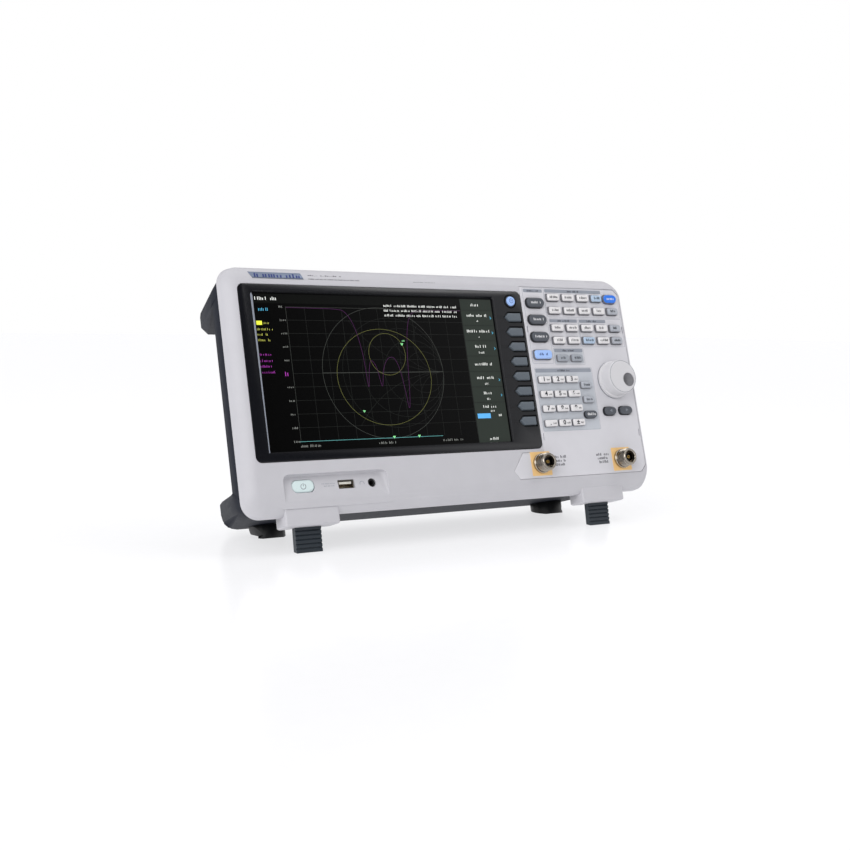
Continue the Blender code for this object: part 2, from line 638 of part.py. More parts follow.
def build_shell():
    step = HANDLE_POCKET_FRONT - 4.0
    floors = ((TAPER_FRONT, SHELL_TOP), (step, SHELL_TOP), (HANDLE_POCKET_FRONT, HANDLE_POCKET_FLOOR))
    bm = bmesh.new()
    stations = [(SHELL_FRONT, SHELL_TOP), *floors, (SHELL_BACK, HANDLE_POCKET_FLOOR)]
    add_loft(bm, [(y, shell_outline(y, floor)) for y, floor in stations])
    shell = part(bm, "rear_shell", "slate_plastic")
    hollow = bmesh.new()
    stations = [(SHELL_FRONT - 2.0, SHELL_TOP), *floors, (SHELL_BACK - WALL, HANDLE_POCKET_FLOOR)]
    add_loft(hollow, [(y, shell_outline(y, floor, WALL)) for y, floor in stations])
    boolean(shell, hollow, "shell_hollow")
    opening = bmesh.new()
    add_prism(opening, rounded_rectangle(*REAR_OPENING, 4.0), SHELL_BACK - 8.0, SHELL_BACK + 3.0)
    boolean(shell, opening, "rear_opening")

    bumpers = bmesh.new()
    for side in (-1, 1):
        for low, high in ((SHELL_BOTTOM + 0.6, 34.0), (181.4, SHELL_TOP - 0.8)):
            rings = []
            for y, inward in ((SHELL_BACK - 1.5, 0.6), (CASE_DEPTH - 2.0, 3.6), (CASE_DEPTH, 5.6)):
                x = sorted((side * (134.0 + inward / 2), side * (SHELL_BACK_HALF_WIDTH - inward)))
                rings.append((y, rounded_rectangle(*x, low + inward / 3, high - inward / 3, 9.0)))
            add_loft(bumpers, rings)
    boolean(shell, bumpers, "rear_bumpers", "UNION")

    vents = bmesh.new()
    for side in (-1, 1):
        for step in range(9):
            y = 42.0 + 5.5 * step
            x = sorted((side * 150.0, side * 200.0))
            add_box(vents, (x[0], y, 62.0), (x[1], y + 2.4, 158.0))
    boolean(shell, vents, "side_vents")


def build_handle():
    """A folding bail in the pocket on top, on one fixed pin at each end."""
    outer, arm = HANDLE_HALF_WIDTH, HANDLE_ARM
    front, back = HANDLE_PIVOT_Y - HANDLE_END, HANDLE_BACK
    low, high = HANDLE_PIVOT_Z - HANDLE_THICK / 2, HANDLE_PIVOT_Z + HANDLE_THICK / 2
    outline = [
        (-outer, front),
        (-outer, back - 8.0),
        (-outer + 8.0, back),
        (outer - 8.0, back),
        (outer, back - 8.0),
        (outer, front),
        (outer - arm, front),
        (outer - arm, back - 18.0),
        (outer - arm - 6.0, back - 14.0),
        (-outer + arm + 6.0, back - 14.0),
        (-outer + arm, back - 18.0),
        (-outer + arm, front),
    ]
    bm = bmesh.new()
    face = bm.faces.new([bm.verts.new((x, y, low)) for x, y in outline])
    grown_face = bmesh.ops.extrude_face_region(bm, geom=[face], use_keep_orig=True)["geom"]
    moved = [item for item in grown_face if isinstance(item, bmesh.types.BMVert)]
    bmesh.ops.translate(bm, vec=(0.0, 0.0, high - low), verts=moved)
    handle = part(bm, "carrying_handle", "slate_plastic", origin=(0.0, HANDLE_PIVOT_Y, HANDLE_PIVOT_Z))
    bevel(handle, 1.6)
    holes = bmesh.new()
    pin_axis = (HANDLE_PIVOT_Y, HANDLE_PIVOT_Z)
    for side in (-1, 1):
        x = sorted((side * (outer - arm - 3.0), side * (outer + 3.0)))
        add_cylinder(holes, pin_axis, HANDLE_PIN_RADIUS + GAP, *x, axis="X", segments=24)
    boolean(handle, holes, "handle_pin_holes")
    for side, name in ((-1, "left"), (1, "right")):
        x = sorted((side * (outer - arm - 1.5), side * (HANDLE_POCKET_HALF_WIDTH - GAP)))
        bm = bmesh.new()
        add_cylinder(bm, pin_axis, HANDLE_PIN_RADIUS, *x, axis="X", segments=24)
        part(bm, f"handle_pin_{name}", "nickel")


# ---- Rear panel, fan and inside ----


def build_rear_panel():
    left, right, bottom, top = grown(REAR_OPENING, 4.0)
    bm = bmesh.new()
    add_box(bm, (left, PLATE_FRONT, bottom), (right, PLATE_BACK, top))
    plate = part(bm, "rear_panel", "sheet_steel")
    holes = bmesh.new()
    half_width, half_height = (size / 2 + GAP for size in INLET_SIZE)
    add_box(
        holes,
        (INLET_X - half_width, 95.0, REAR_ROW_Z - half_height),
        (INLET_X + half_width, 110.0, REAR_ROW_Z + half_height),
    )
    for x, half_width, half_height in ((LAN_X, 8.3, 7.3), (USB_B_X, 6.3, 5.8)):
        add_box(holes, (x - half_width, 95.0, REAR_ROW_Z - half_height), (x + half_width, 110.0, REAR_ROW_Z + half_height))
    for x in BNC_X.values():
        add_cylinder(holes, (x, REAR_ROW_Z), 6.6, 95.0, 110.0, segments=24)
    for step in range(-4, 5):
        z = FAN_Z + 6.0 * step
        reach = (FAN_BORE**2 - (z - FAN_Z) ** 2) ** 0.5 - 1.0
        add_box(holes, (FAN_X - reach, 95.0, z - 1.7), (FAN_X + reach, 110.0, z + 1.7))
    add_box(holes, (-70.0, 95.0, REAR_ROW_Z - 3.5), (-67.0, 110.0, REAR_ROW_Z + 3.5))
    boolean(plate, holes, "rear_panel_holes")


def build_rear_connectors():
    wide, tall = INLET_SIZE
    bm = bmesh.new()
    add_box(
        bm,
        (INLET_X - wide / 2, 84.0, REAR_ROW_Z - tall / 2),
        (INLET_X + wide / 2, 105.5, REAR_ROW_Z + tall / 2),
    )
    inlet = part(bm, "mains_inlet", "socket_black")
    mouth = bmesh.new()
    add_box(mouth, (INLET_X - 12.0, 88.5, REAR_ROW_Z - 8.2), (INLET_X + 12.0, 110.0, REAR_ROW_Z + 8.2))
    boolean(inlet, mouth, "inlet_mouth")
    pins = bmesh.new()
    for x, z in ((-7.0, -2.0), (0.0, 2.0), (7.0, -2.0)):
        add_box(
            pins,
            (INLET_X + x - 1.0, 87.5, REAR_ROW_Z + z - 2.0),
            (INLET_X + x + 1.0, 101.5, REAR_ROW_Z + z + 2.0),
        )
    boolean(inlet, pins, "inlet_pins", "UNION")

    bm = bmesh.new()
    add_box(bm, (LAN_X - 8.0, 90.0, REAR_ROW_Z - 7.0), (LAN_X + 8.0, 105.0, REAR_ROW_Z + 7.0))
    lan = part(bm, "lan_socket", "sheet_steel")
    mouth = bmesh.new()
    add_box(mouth, (LAN_X - 6.0, 93.0, REAR_ROW_Z - 4.6), (LAN_X + 6.0, 110.0, REAR_ROW_Z + 3.6))
    boolean(lan, mouth, "lan_mouth")

    bm = bmesh.new()
    add_box(bm, (USB_B_X - 6.0, 90.0, REAR_ROW_Z - 5.5), (USB_B_X + 6.0, 105.0, REAR_ROW_Z + 5.5))
    usb = part(bm, "usb_device_socket", "sheet_steel")
    mouth = bmesh.new()
    add_box(mouth, (USB_B_X - 4.2, 95.0, REAR_ROW_Z - 3.9), (USB_B_X + 4.2, 110.0, REAR_ROW_Z + 3.9))
    boolean(usb, mouth, "usb_device_mouth")
    tongue = bmesh.new()
    add_box(tongue, (USB_B_X - 2.8, 94.0, REAR_ROW_Z - 1.6), (USB_B_X + 2.8, 103.0, REAR_ROW_Z + 1.6))
    boolean(usb, tongue, "usb_device_tongue", "UNION")

    for name, x in BNC_X.items():
        axis = (x, REAR_ROW_Z)
        bm = bmesh.new()
        add_cylinder(bm, axis, 6.3, 94.0, 105.6, segments=24)
        bnc = part(bm, name, "nickel")
        barrel = bmesh.new()
        add_cylinder(barrel, axis, 4.8, 104.0, 116.2, segments=24)
        boolean(bnc, barrel, name + "_barrel", "UNION")
        lugs = bmesh.new()
        add_cylinder(lugs, (x, 112.5), 1.0, REAR_ROW_Z - 5.8, REAR_ROW_Z + 5.8, axis="Z", segments=12)
        boolean(bnc, lugs, name + "_lugs", "UNION")
        bore = bmesh.new()
        add_cylinder(bore, axis, 4.0, 107.0, 118.0, segments=24)
        boolean(bnc, bore, name + "_bore")
        contact = bmesh.new()
        add_cylinder(contact, axis, 1.1, 106.5, 114.0, segments=12)
        boolean(bnc, contact, name + "_contact", "UNION")


def build_fan():
    half = FAN_SIDE / 2
    axis = (FAN_X, FAN_Z)
    bm = bmesh.new()
    add_box(bm, (FAN_X - half, FAN_FRONT, FAN_Z - half), (FAN_X + half, FAN_BACK, FAN_Z + half))
    frame = part(bm, "fan_frame", "socket_black")
    bore = bmesh.new()
    add_cylinder(bore, axis, FAN_BORE, FAN_FRONT - 1.0, FAN_BACK + 1.0, segments=40)
    boolean(frame, bore, "fan_bore")
    for name, (across, up) in {"level": (half - 0.6, 1.5), "upright": (1.5, half - 0.6)}.items():
        spoke = bmesh.new()
        add_box(spoke, (FAN_X - across, FAN_BACK - 2.4, FAN_Z - up), (FAN_X + across, FAN_BACK - 0.4, FAN_Z + up))
        boolean(frame, spoke, f"fan_spoke_{name}", "UNION")
    hub = bmesh.new()
    add_cylinder(hub, axis, 11.0, FAN_BACK - 3.0, FAN_BACK - 0.2, segments=24)
    boolean(frame, hub, "fan_motor_mount", "UNION")

    bm = bmesh.new()
    add_cylinder(bm, axis, 11.0, FAN_FRONT + 1.2, FAN_BACK - 4.0, segments=28)
    rotor = part(bm, "fan_rotor", "socket_black", origin=(FAN_X, 0.0, FAN_Z))
    blades = bmesh.new()
    middle = (FAN_FRONT + FAN_BACK) / 2 - 1.6
    for step in range(7):
        blade = bmesh.new()
        add_box(blade, (9.8, -4.6, -0.7), (FAN_BORE - 1.2, 4.6, 0.7))
        lean = Matrix.Rotation(radians(42.0), 4, "X")
        spin = Matrix.Rotation(2 * pi * step / 7, 4, "Y")
        place = Matrix.Translation((FAN_X, middle, FAN_Z))
        bmesh.ops.transform(blade, matrix=place @ spin @ lean, verts=blade.verts[:])
        mesh = bpy.data.meshes.new("blade")
        blade.to_mesh(mesh)
        blade.free()
        blades.from_mesh(mesh)
        bpy.data.meshes.remove(mesh)
    boolean(rotor, blades, "fan_blades", "UNION")


def build_inside():
    bm = bmesh.new()
    add_box(bm, (-150.0, 14.0, 17.0), (150.0, 15.2, 184.0))
    chassis = part(bm, "chassis", "sheet_steel")
    floor = bmesh.new()
    add_box(floor, (-149.0, 14.2, 16.0), (149.0, 96.0, 17.2))
    boolean(chassis, floor, "chassis_floor", "UNION")
    passages = bmesh.new()
    add_box(passages, (USB_X - 8.0, 12.0, USB_Z - 4.5), (USB_X + 8.0, 18.0, USB_Z + 4.5))
    add_cylinder(passages, (PHONES_X, PHONES_Z), 4.5, 12.0, 18.0, segments=16)
    boolean(chassis, passages, "chassis_passages")
    box_part("main_board", "board_green", (-145.0, 24.0, 50.0), (60.0, 25.6, 180.0))
    box_part("rf_module", "sheet_steel", (68.0, 20.0, 22.0), (146.0, 60.0, 84.0))
    box_part("power_supply", "sheet_steel", (-142.0, 36.0, 70.0), (-50.0, 80.0, 165.0))


build_bezel()
build_display()
build_key_panel()
build_keys()
build_knob()
build_front_connectors()
build_stand()
build_shell()
build_handle()
build_rear_panel()
build_rear_connectors()
build_fan()
build_inside()


def stand_over_origin():
    """Moves the case so that the floor is Z = 0 and the object's box is centred on the origin."""
    bpy.context.view_layer.update()
    graph = bpy.context.evaluated_depsgraph_get()
    corners = [
        made.matrix_world @ Vector(corner)
        for made in (item.evaluated_get(graph) for item in parts.objects if item.type == "MESH")
        for corner in made.bound_box
    ]
    for axis in (0, 1):
        values = [corner[axis] for corner in corners]
        case.location[axis] = -(min(values) + max(values)) / 2
    case.location.z = FLOOR_DROP * MM


stand_over_origin()
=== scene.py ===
"""Looks for the portable bench spectrum and network analyzer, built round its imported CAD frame.

Sizes are millimetres in the case's own axes: X to the user's right, Y from the front panel into the case,
Z up the panel, with the panel's front plane at Y = 0. CASE turns them into the frame's metres. A rectangle
is (left, right, bottom, top).
"""

import json
import random
from math import atan2, cos, pi, radians, sin

import bmesh
import bpy
from mathutils import Matrix, Vector


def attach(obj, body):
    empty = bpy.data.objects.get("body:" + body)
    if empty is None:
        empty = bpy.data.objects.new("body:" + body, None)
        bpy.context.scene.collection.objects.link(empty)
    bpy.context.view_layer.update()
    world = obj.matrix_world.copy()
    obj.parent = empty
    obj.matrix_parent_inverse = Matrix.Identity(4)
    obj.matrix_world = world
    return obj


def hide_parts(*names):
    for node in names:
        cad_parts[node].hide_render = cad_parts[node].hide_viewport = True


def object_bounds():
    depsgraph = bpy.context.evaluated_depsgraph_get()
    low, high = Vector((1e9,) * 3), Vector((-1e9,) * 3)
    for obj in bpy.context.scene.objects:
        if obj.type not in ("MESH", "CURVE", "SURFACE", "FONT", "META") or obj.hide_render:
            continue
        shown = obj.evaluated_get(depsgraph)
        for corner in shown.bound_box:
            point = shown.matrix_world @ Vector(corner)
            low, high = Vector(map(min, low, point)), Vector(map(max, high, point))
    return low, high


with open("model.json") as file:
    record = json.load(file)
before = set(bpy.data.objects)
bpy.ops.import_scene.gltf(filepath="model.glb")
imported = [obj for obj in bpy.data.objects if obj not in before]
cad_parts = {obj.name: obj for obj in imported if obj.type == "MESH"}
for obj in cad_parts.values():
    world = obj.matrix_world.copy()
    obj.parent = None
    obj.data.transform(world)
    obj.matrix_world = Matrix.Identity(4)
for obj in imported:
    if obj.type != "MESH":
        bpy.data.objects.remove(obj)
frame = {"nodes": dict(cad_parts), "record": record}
cad_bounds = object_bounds()

MM = 0.001
JOINTS = {joint["name"]: joint for joint in frame["record"]["behaviour"]["joints"]}
KNOB_AXIS = (172.0, 0.0, 109.5)
FRONT_SKIN = 0.03  # how far a printed mark stands on the surface under it


def case_matrix():
    """The case's place in the frame, from the tuning knob's joint, whose axis runs along the case's Y."""
    joint = JOINTS["tuning_knob_turn"]
    _, along_y, along_z = joint["axis"]
    turn = Matrix.Rotation(atan2(along_z, along_y), 4, "X")
    return Matrix.Translation(Vector(joint["pos_m"]) - turn @ Vector(KNOB_AXIS) * MM) @ turn


CASE = case_matrix()
TO_FRAME = CASE @ Matrix.Scale(MM, 4)
TO_CASE = TO_FRAME.inverted()

# ---- Camera, light and floor ----

# The room that the object sees: pale, with a dim band in front for the glossy surround to mirror, and less
# light from behind. The edges are azimuths in degrees right of straight ahead, between which it turns dim.
ROOM_STRENGTH, DIM_STRENGTH = 1.0, 0.07
DIM_LEFT_EDGE, DIM_RIGHT_EDGE = (-38.0, -16.0), (24.0, 50.0)
BEHIND, BEHIND_STRENGTH = (0.1, 0.6), 0.4  # how far a direction points back, and the strength there
# Soft boxes, in metres and watts: place, what they aim at, width, height, power
SOFTBOXES = {
    "key_left": ((-1.8, -1.4, 1.2), (0.0, 0.0, 0.1), 1.4, 1.2, 21.0),
    "fill_right": ((0.55, -0.5, 1.1), (0.15, 0.0, 0.1), 0.5, 0.5, 1.7),
    "top": ((0.1, 0.3, 2.0), (0.0, 0.0, 0.1), 2.2, 2.2, 6.0),
}
FLOOR_HALF, FLOOR_DROP = 12.0, 0.0002
CAMERA_PLACE, CAMERA_TURN, CAMERA_LENS = (-0.5304, -0.8923, 0.1784), (1.4839, -0.0143, -0.5379), 50.1


def build_camera():
    camera = bpy.data.objects.new("camera", bpy.data.cameras.new("camera"))
    bpy.context.scene.collection.objects.link(camera)
    camera.location = CAMERA_PLACE
    camera.rotation_euler = CAMERA_TURN
    camera.data.lens = CAMERA_LENS
    bpy.context.scene.camera = camera


def add_softbox(name, place, aim, width, height, power):
    light = bpy.data.lights.new(name, "AREA")
    light.shape = "RECTANGLE"
    light.size, light.size_y = width, height
    light.energy = power
    lamp = bpy.data.objects.new(name, light)
    bpy.context.scene.collection.objects.link(lamp)
    lamp.location = place
    lamp.rotation_euler = (Vector(aim) - Vector(place)).to_track_quat("-Z", "Y").to_euler()


def add_band(tree, value, edges, first, last):
    """A value that turns smoothly from first to last between the two edges."""
    band = tree.nodes.new("ShaderNodeMapRange")
    band.interpolation_type = "SMOOTHSTEP"
    for name, setting in zip(("From Min", "From Max", "To Min", "To Max"), (*edges, first, last)):
        band.inputs[name].default_value = setting
    tree.links.new(value, band.inputs["Value"])
    return band.outputs["Result"]


def add_math(tree, operation, first, second):
    step = tree.nodes.new("ShaderNodeMath")
    step.operation = operation
    for socket, value in zip(step.inputs, (first, second)):
        if isinstance(value, float):
            socket.default_value = value
        else:
            tree.links.new(value, socket)
    return step.outputs["Value"]


def build_studio():
    """A white studio: the camera sees plain white, the object a pale room with a dim band in front."""
    world = bpy.data.worlds.new("studio")
    bpy.context.scene.world = world
    world.use_nodes = True
    tree = world.node_tree
    nodes, links = tree.nodes, tree.links
    output = nodes["World Output"]
    backdrop = nodes["Background"]
    backdrop.inputs["Color"].default_value = (1.0, 1.0, 1.0, 1.0)
    backdrop.inputs["Strength"].default_value = 1.0
    room = nodes.new("ShaderNodeBackground")
    room.inputs["Color"].default_value = (0.985, 0.985, 1.0, 1.0)
    direction = nodes.new("ShaderNodeTexCoord")
    parts = nodes.new("ShaderNodeSeparateXYZ")
    links.new(direction.outputs["Generated"], parts.inputs[0])
    right, back = parts.outputs["X"], parts.outputs["Y"]
    azimuth = add_math(tree, "ARCTAN2", right, add_math(tree, "MULTIPLY", back, -1.0))
    turned_right = add_band(tree, azimuth, [radians(edge) for edge in DIM_RIGHT_EDGE], DIM_STRENGTH, 1.0)
    turned_left = add_band(tree, azimuth, [radians(edge) for edge in DIM_LEFT_EDGE], 1.0, DIM_STRENGTH)
    front = add_math(tree, "MAXIMUM", turned_right, turned_left)
    behind = add_band(tree, back, BEHIND, ROOM_STRENGTH, BEHIND_STRENGTH)
    links.new(add_math(tree, "MULTIPLY", front, behind), room.inputs["Strength"])
    ray = nodes.new("ShaderNodeLightPath")
    mix = nodes.new("ShaderNodeMixShader")
    links.new(ray.outputs["Is Camera Ray"], mix.inputs["Fac"])
    links.new(room.outputs[0], mix.inputs[1])
    links.new(backdrop.outputs[0], mix.inputs[2])
    links.new(mix.outputs[0], output.inputs["Surface"])
    bpy.context.scene.view_settings.view_transform = "Standard"

    for name, facts in SOFTBOXES.items():
        add_softbox(name, *facts)

    bm = bmesh.new()
    bmesh.ops.create_grid(bm, x_segments=1, y_segments=1, size=FLOOR_HALF)
    mesh = bpy.data.meshes.new("floor")
    bm.to_mesh(mesh)
    bm.free()
    floor = bpy.data.objects.new("floor", mesh)
    bpy.context.scene.collection.objects.link(floor)
    floor.location.z = cad_bounds[0][2] - FLOOR_DROP
    floor.data.materials.append(surface("floor"))


# ---- Materials ----


def linear(code):
    """A colour written as it shows on the screen, as the shader's linear one."""
    channels = [int(code[place : place + 2], 16) / 255 for place in (0, 2, 4)]
    return [c / 12.92 if c <= 0.04045 else ((c + 0.055) / 1.055) ** 2.4 for c in channels]


MOTTLE_MM, SCUFF_MM = 14.0, 4.0
LEAST_ROUGHNESS, BUMP_STRENGTH = 0.04, 0.6
# Kind: grain size and bump height in mm, colour spread, roughness spread, metallic, specular level
KINDS = {
    "moulded": (0.35, 0.018, 0.035, 0.08, 0.0, 0.4),
    "slate": (0.4, 0.02, 0.06, 0.08, 0.0, 0.12),
    "key": (0.22, 0.008, 0.03, 0.06, 0.0, 0.45),
    "gloss": (0.5, 0.003, 0.05, 0.05, 0.0, 0.5),
    "print": (0.12, 0.003, 0.10, 0.05, 0.0, 0.2),
    "screen": (0.3, 0.0, 0.08, 0.03, 0.0, 0.16),
    "rubber": (0.5, 0.05, 0.10, 0.10, 0.0, 0.3),
    "metal": (0.18, 0.006, 0.08, 0.12, 1.0, 0.5),
    "steel": (0.6, 0.012, 0.08, 0.14, 1.0, 0.5),
    "board": (1.2, 0.03, 0.20, 0.10, 0.0, 0.4),
    "paper": (3.0, 0.01, 0.01, 0.04, 0.0, 0.5),
}

# Look: record slot, kind, colour, roughness, and how strongly it glows if it does
LOOKS = {
    "floor": (None, "paper", "9C9C9D", 0.24, 2.05),
    "bezel_plastic": ("bezel_plastic", "moulded", "C4C3C8", 0.46),
    "panel_plastic": ("bezel_plastic", "moulded", "D5D4D9", 0.46),
    "slate_plastic": ("slate_plastic", "slate", "23262F", 0.6),
    "surround_plastic": ("surround_plastic", "gloss", "0E0F14", 0.2),
    # painted shade: near-black plates on the pocket floors round the soft keys
    "painted_pocket_shade": ("surround_plastic", "moulded", "070708", 0.7),
    "screen_glass": ("screen_glass", "screen", "030303", 0.2),
    "white_key": ("white_key", "key", "E4E2E3", 0.42),
    "grey_key": ("grey_key", "key", "AEB2BA", 0.42),
    "slate_blue_key": ("grey_key", "key", "9EA3AB", 0.42),
    "light_blue_key": ("pale_blue_key", "key", "B2C6DC", 0.42),
    "dark_key": ("dark_key", "key", "4F535A", 0.45),
    "soft_key": ("soft_key", "key", "5C646C", 0.42),
    "pale_blue_key": ("pale_blue_key", "key", "A3C4FA", 0.36),
    "blue_key": ("blue_key", "key", "2A78E6", 0.3),
    "power_key": ("power_key", "key", "D6E6E6", 0.3, 0.05),
    "knob_plastic": ("knob_plastic", "key", "D2D1D4", 0.34),
    # painted shade: a darker copy of the knob's plastic, for the shade inside its dimple
    "knob_dimple": ("knob_plastic", "key", "77777B", 0.4),
    "leg_plastic": ("leg_plastic", "moulded", "2A3138", 0.4),
    "foot_rubber": ("foot_rubber", "rubber", "0C0D0F", 0.38),
    "nickel": ("nickel", "metal", "A39C92", 0.2),
    "brass": ("nickel", "metal", "C9A45C", 0.28),
    "insulator": ("socket_black", "key", "E6E3DA", 0.5),
    "sheet_steel": ("sheet_steel", "steel", "B9BABC", 0.38),
    "module_box": ("module_box", "steel", "A9ABAE", 0.42),
    "board_green": ("board_green", "board", "1E6A3C", 0.42),
    "socket_black": ("socket_black", "moulded", "151517", 0.5),
    "print_bar": ("bezel_plastic", "print", "959AA4", 0.5),
    # grey print on the arrow keys and the power button, also used for painted shade rings round the knob
    "print_and_shade_grey": ("bezel_plastic", "print", "83878F", 0.5),
    "print_dark": ("bezel_plastic", "print", "2A2D34", 0.5),
    "print_light": ("bezel_plastic", "print", "E8E8EA", 0.5),
    "print_field": ("bezel_plastic", "print", "C2C6CD", 0.5),
    # painted shade: darker copies of the key plastics, for bands round the caps' feet and the round button's
    # edge
    "key_skirt": ("white_key", "key", "77777C", 0.5),
    "painted_dark_key_shade": ("dark_key", "key", "24262B", 0.5),
    # painted highlight: a pale grey strip on the display window's left edge
    "painted_highlight": ("surround_plastic", "key", "8C919C", 0.3),
    "print_blue": ("blue_key", "print", "263370", 0.5),
    "print_orange": ("bezel_plastic", "print", "F8CC8C", 0.5),
    "badge_silver": ("nickel", "metal", "717A8C", 0.34),
}
# What the screen shows, all on the glass: colour, roughness, glow
for name, code, roughness, glow in (
    ("bar", "0A0B0A", 0.2, 0.5),
    ("menu", "252A26", 0.2, 0.7),
    ("line", "151716", 0.3, 0.4),
    ("grid", "1E201E", 0.4, 0.6),
    ("faint", "1C1E1C", 0.4, 0.6),
    ("dim", "353734", 0.4, 0.6),
    ("grey", "7C7E7A", 0.4, 0.75),
    ("white", "D8DAD6", 0.4, 0.95),
    ("yellow", "56572F", 0.4, 0.6),
    ("yellow_text", "A0A14A", 0.4, 0.8),
    ("magenta_text", "8A308C", 0.4, 0.85),
    ("yellow_tag", "C8D03C", 0.4, 0.85),
    ("magenta", "3C183F", 0.4, 0.6),
    ("teal", "4C8382", 0.4, 0.8),
    ("cyan", "4A9CBC", 0.4, 0.8),
    ("blue", "4F94C8", 0.4, 0.75),
    ("green", "7FCF8A", 0.4, 0.8),
):
    LOOKS["ui_" + name] = ("screen_glass", "screen", code, roughness, glow)


def noise_field(tree, place, size_mm, detail):
    field = tree.nodes.new("ShaderNodeTexNoise")
    field.inputs["Scale"].default_value = 1.0 / (size_mm * MM)
    field.inputs["Detail"].default_value = detail
    tree.links.new(place.outputs["Object"], field.inputs["Vector"])
    return field


def surface(name):
    """The named look as a node material, made once: grain as bump, mottling in colour and roughness."""
    made = bpy.data.materials.get("look_" + name)
    if made:
        return made
    _, kind, code, roughness, *glow = LOOKS[name]
    grain, height, colour_spread, rough_spread, metallic, specular = KINDS[kind]
    made = bpy.data.materials.new("look_" + name)
    made.use_nodes = True
    tree = made.node_tree
    nodes, links = tree.nodes, tree.links
    shader = nodes["Principled BSDF"]
    shader.inputs["Metallic"].default_value = metallic
    shader.inputs["Specular IOR Level"].default_value = specular
    place = nodes.new("ShaderNodeTexCoord")

    mottle = noise_field(tree, place, MOTTLE_MM, 3.0)
    tint = nodes.new("ShaderNodeMix")
    tint.data_type = "RGBA"
    colour = linear(code)
    tint.inputs["A"].default_value = (*[c * (1 - colour_spread) for c in colour], 1.0)
    tint.inputs["B"].default_value = (*[min(1.0, c * (1 + colour_spread)) for c in colour], 1.0)
    links.new(mottle.outputs["Fac"], tint.inputs["Factor"])
    links.new(tint.outputs["Result"], shader.inputs["Base Color"])

    scuff = noise_field(tree, place, SCUFF_MM, 4.0)
    spread = nodes.new("ShaderNodeMapRange")
    spread.inputs["To Min"].default_value = max(LEAST_ROUGHNESS, roughness - rough_spread)
    spread.inputs["To Max"].default_value = roughness + rough_spread
    links.new(scuff.outputs["Fac"], spread.inputs["Value"])
    links.new(spread.outputs["Result"], shader.inputs["Roughness"])

    if height:
        texture = noise_field(tree, place, grain, 2.0)
        bump = nodes.new("ShaderNodeBump")
        bump.inputs["Distance"].default_value = height * MM
        bump.inputs["Strength"].default_value = BUMP_STRENGTH
        links.new(texture.outputs["Fac"], bump.inputs["Height"])
        links.new(bump.outputs["Normal"], shader.inputs["Normal"])
    if glow:
        links.new(tint.outputs["Result"], shader.inputs["Emission Color"])
        shader.inputs["Emission Strength"].default_value = glow[0]
    return made


# ---- Geometry in case axes ----


def place_piece(bm, name, look, body="case", replaces=(), sharp=30.0):
    """A piece from a bmesh in case millimetres: it gets its material, and rides on a CAD body."""
    bmesh.ops.remove_doubles(bm, verts=bm.verts[:], dist=0.0005)
    bmesh.ops.recalc_face_normals(bm, faces=bm.faces[:])
    bm.transform(TO_FRAME)
    mesh = bpy.data.meshes.new(name)
    bm.to_mesh(mesh)
    bm.free()
    mesh.materials.append(surface(look))
    mesh.shade_smooth()
    mesh.set_sharp_from_angle(angle=radians(sharp))
    piece = bpy.data.objects.new(name, mesh)
    bpy.context.scene.collection.objects.link(piece)
    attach(piece, body)
    if replaces:
        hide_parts(*replaces)
    return piece


def combine(base, tool, operation="DIFFERENCE"):
    """The base with the tool cut from it or joined to it. Both are bmeshes and are used up."""
    objects = []
    for bm in (base, tool):
        bmesh.ops.recalc_face_normals(bm, faces=bm.faces[:])
        mesh = bpy.data.meshes.new("working")
        bm.to_mesh(mesh)
        bm.free()
        objects.append(bpy.data.objects.new("working", mesh))
        bpy.context.scene.collection.objects.link(objects[-1])
    modifier = objects[0].modifiers.new("combine", "BOOLEAN")
    modifier.operation = operation
    modifier.object = objects[1]
    graph = bpy.context.evaluated_depsgraph_get()
    result = bmesh.new()
    result.from_mesh(objects[0].evaluated_get(graph).to_mesh())
    for used in objects:
        mesh = used.data
        bpy.data.objects.remove(used)
        bpy.data.meshes.remove(mesh)
    return result


def add_box(bm, low, high):
    centre = [(a + b) / 2 for a, b in zip(low, high)]
    size = [b - a for a, b in zip(low, high)]
    bmesh.ops.create_cube(bm, size=1.0, matrix=Matrix.Translation(centre) @ Matrix.Diagonal((*size, 1.0)))
    return bm


def add_plates(bm, rectangles, front, back):
    for left, right, bottom, top in rectangles:
        add_box(bm, (left, front, bottom), (right, back, top))
    return bm


def rounded_rectangle(left, right, bottom, top, radius, steps=8):
    """The outline's points, anticlockwise from the bottom right corner, each corner an arc."""
    points = []
    corners = (
        (right - radius, bottom + radius, -90),
        (right - radius, top - radius, 0),
        (left + radius, top - radius, 90),
        (left + radius, bottom + radius, 180),
    )
    for x, z, first in corners:
        for step in range(steps + 1):
            angle = radians(first + 90 * step / steps)
            points.append((x + radius * cos(angle), z + radius * sin(angle)))
    return points


def ellipse(x, z, wide, tall=None, segments=64):
    turns = [2 * pi * step / segments for step in range(segments)]
    return [(x + wide * cos(turn), z + (tall or wide) * sin(turn)) for turn in turns]


def grown(rectangle, margin):
    left, right, bottom, top = rectangle
    return left - margin, right + margin, bottom - margin, top + margin


def add_skin(bm, rows):
    """A closed skin through rows of points in space, each row with the same count."""
    rows = [[bm.verts.new(point) for point in row] for row in rows]
    for near, far in zip(rows, rows[1:]):
        for index, vert in enumerate(near):
            following = (index + 1) % len(near)
            bm.faces.new((vert, near[following], far[following], far[index]))
    bm.faces.new(rows[0])
    bm.faces.new(rows[-1])
    return bm


# A position along one case axis and a point in the other two, in the order X, Y, Z
ORDERS = {"X": lambda p, a, b: (p, a, b), "Y": lambda p, a, b: (a, p, b), "Z": lambda p, a, b: (a, b, p)}


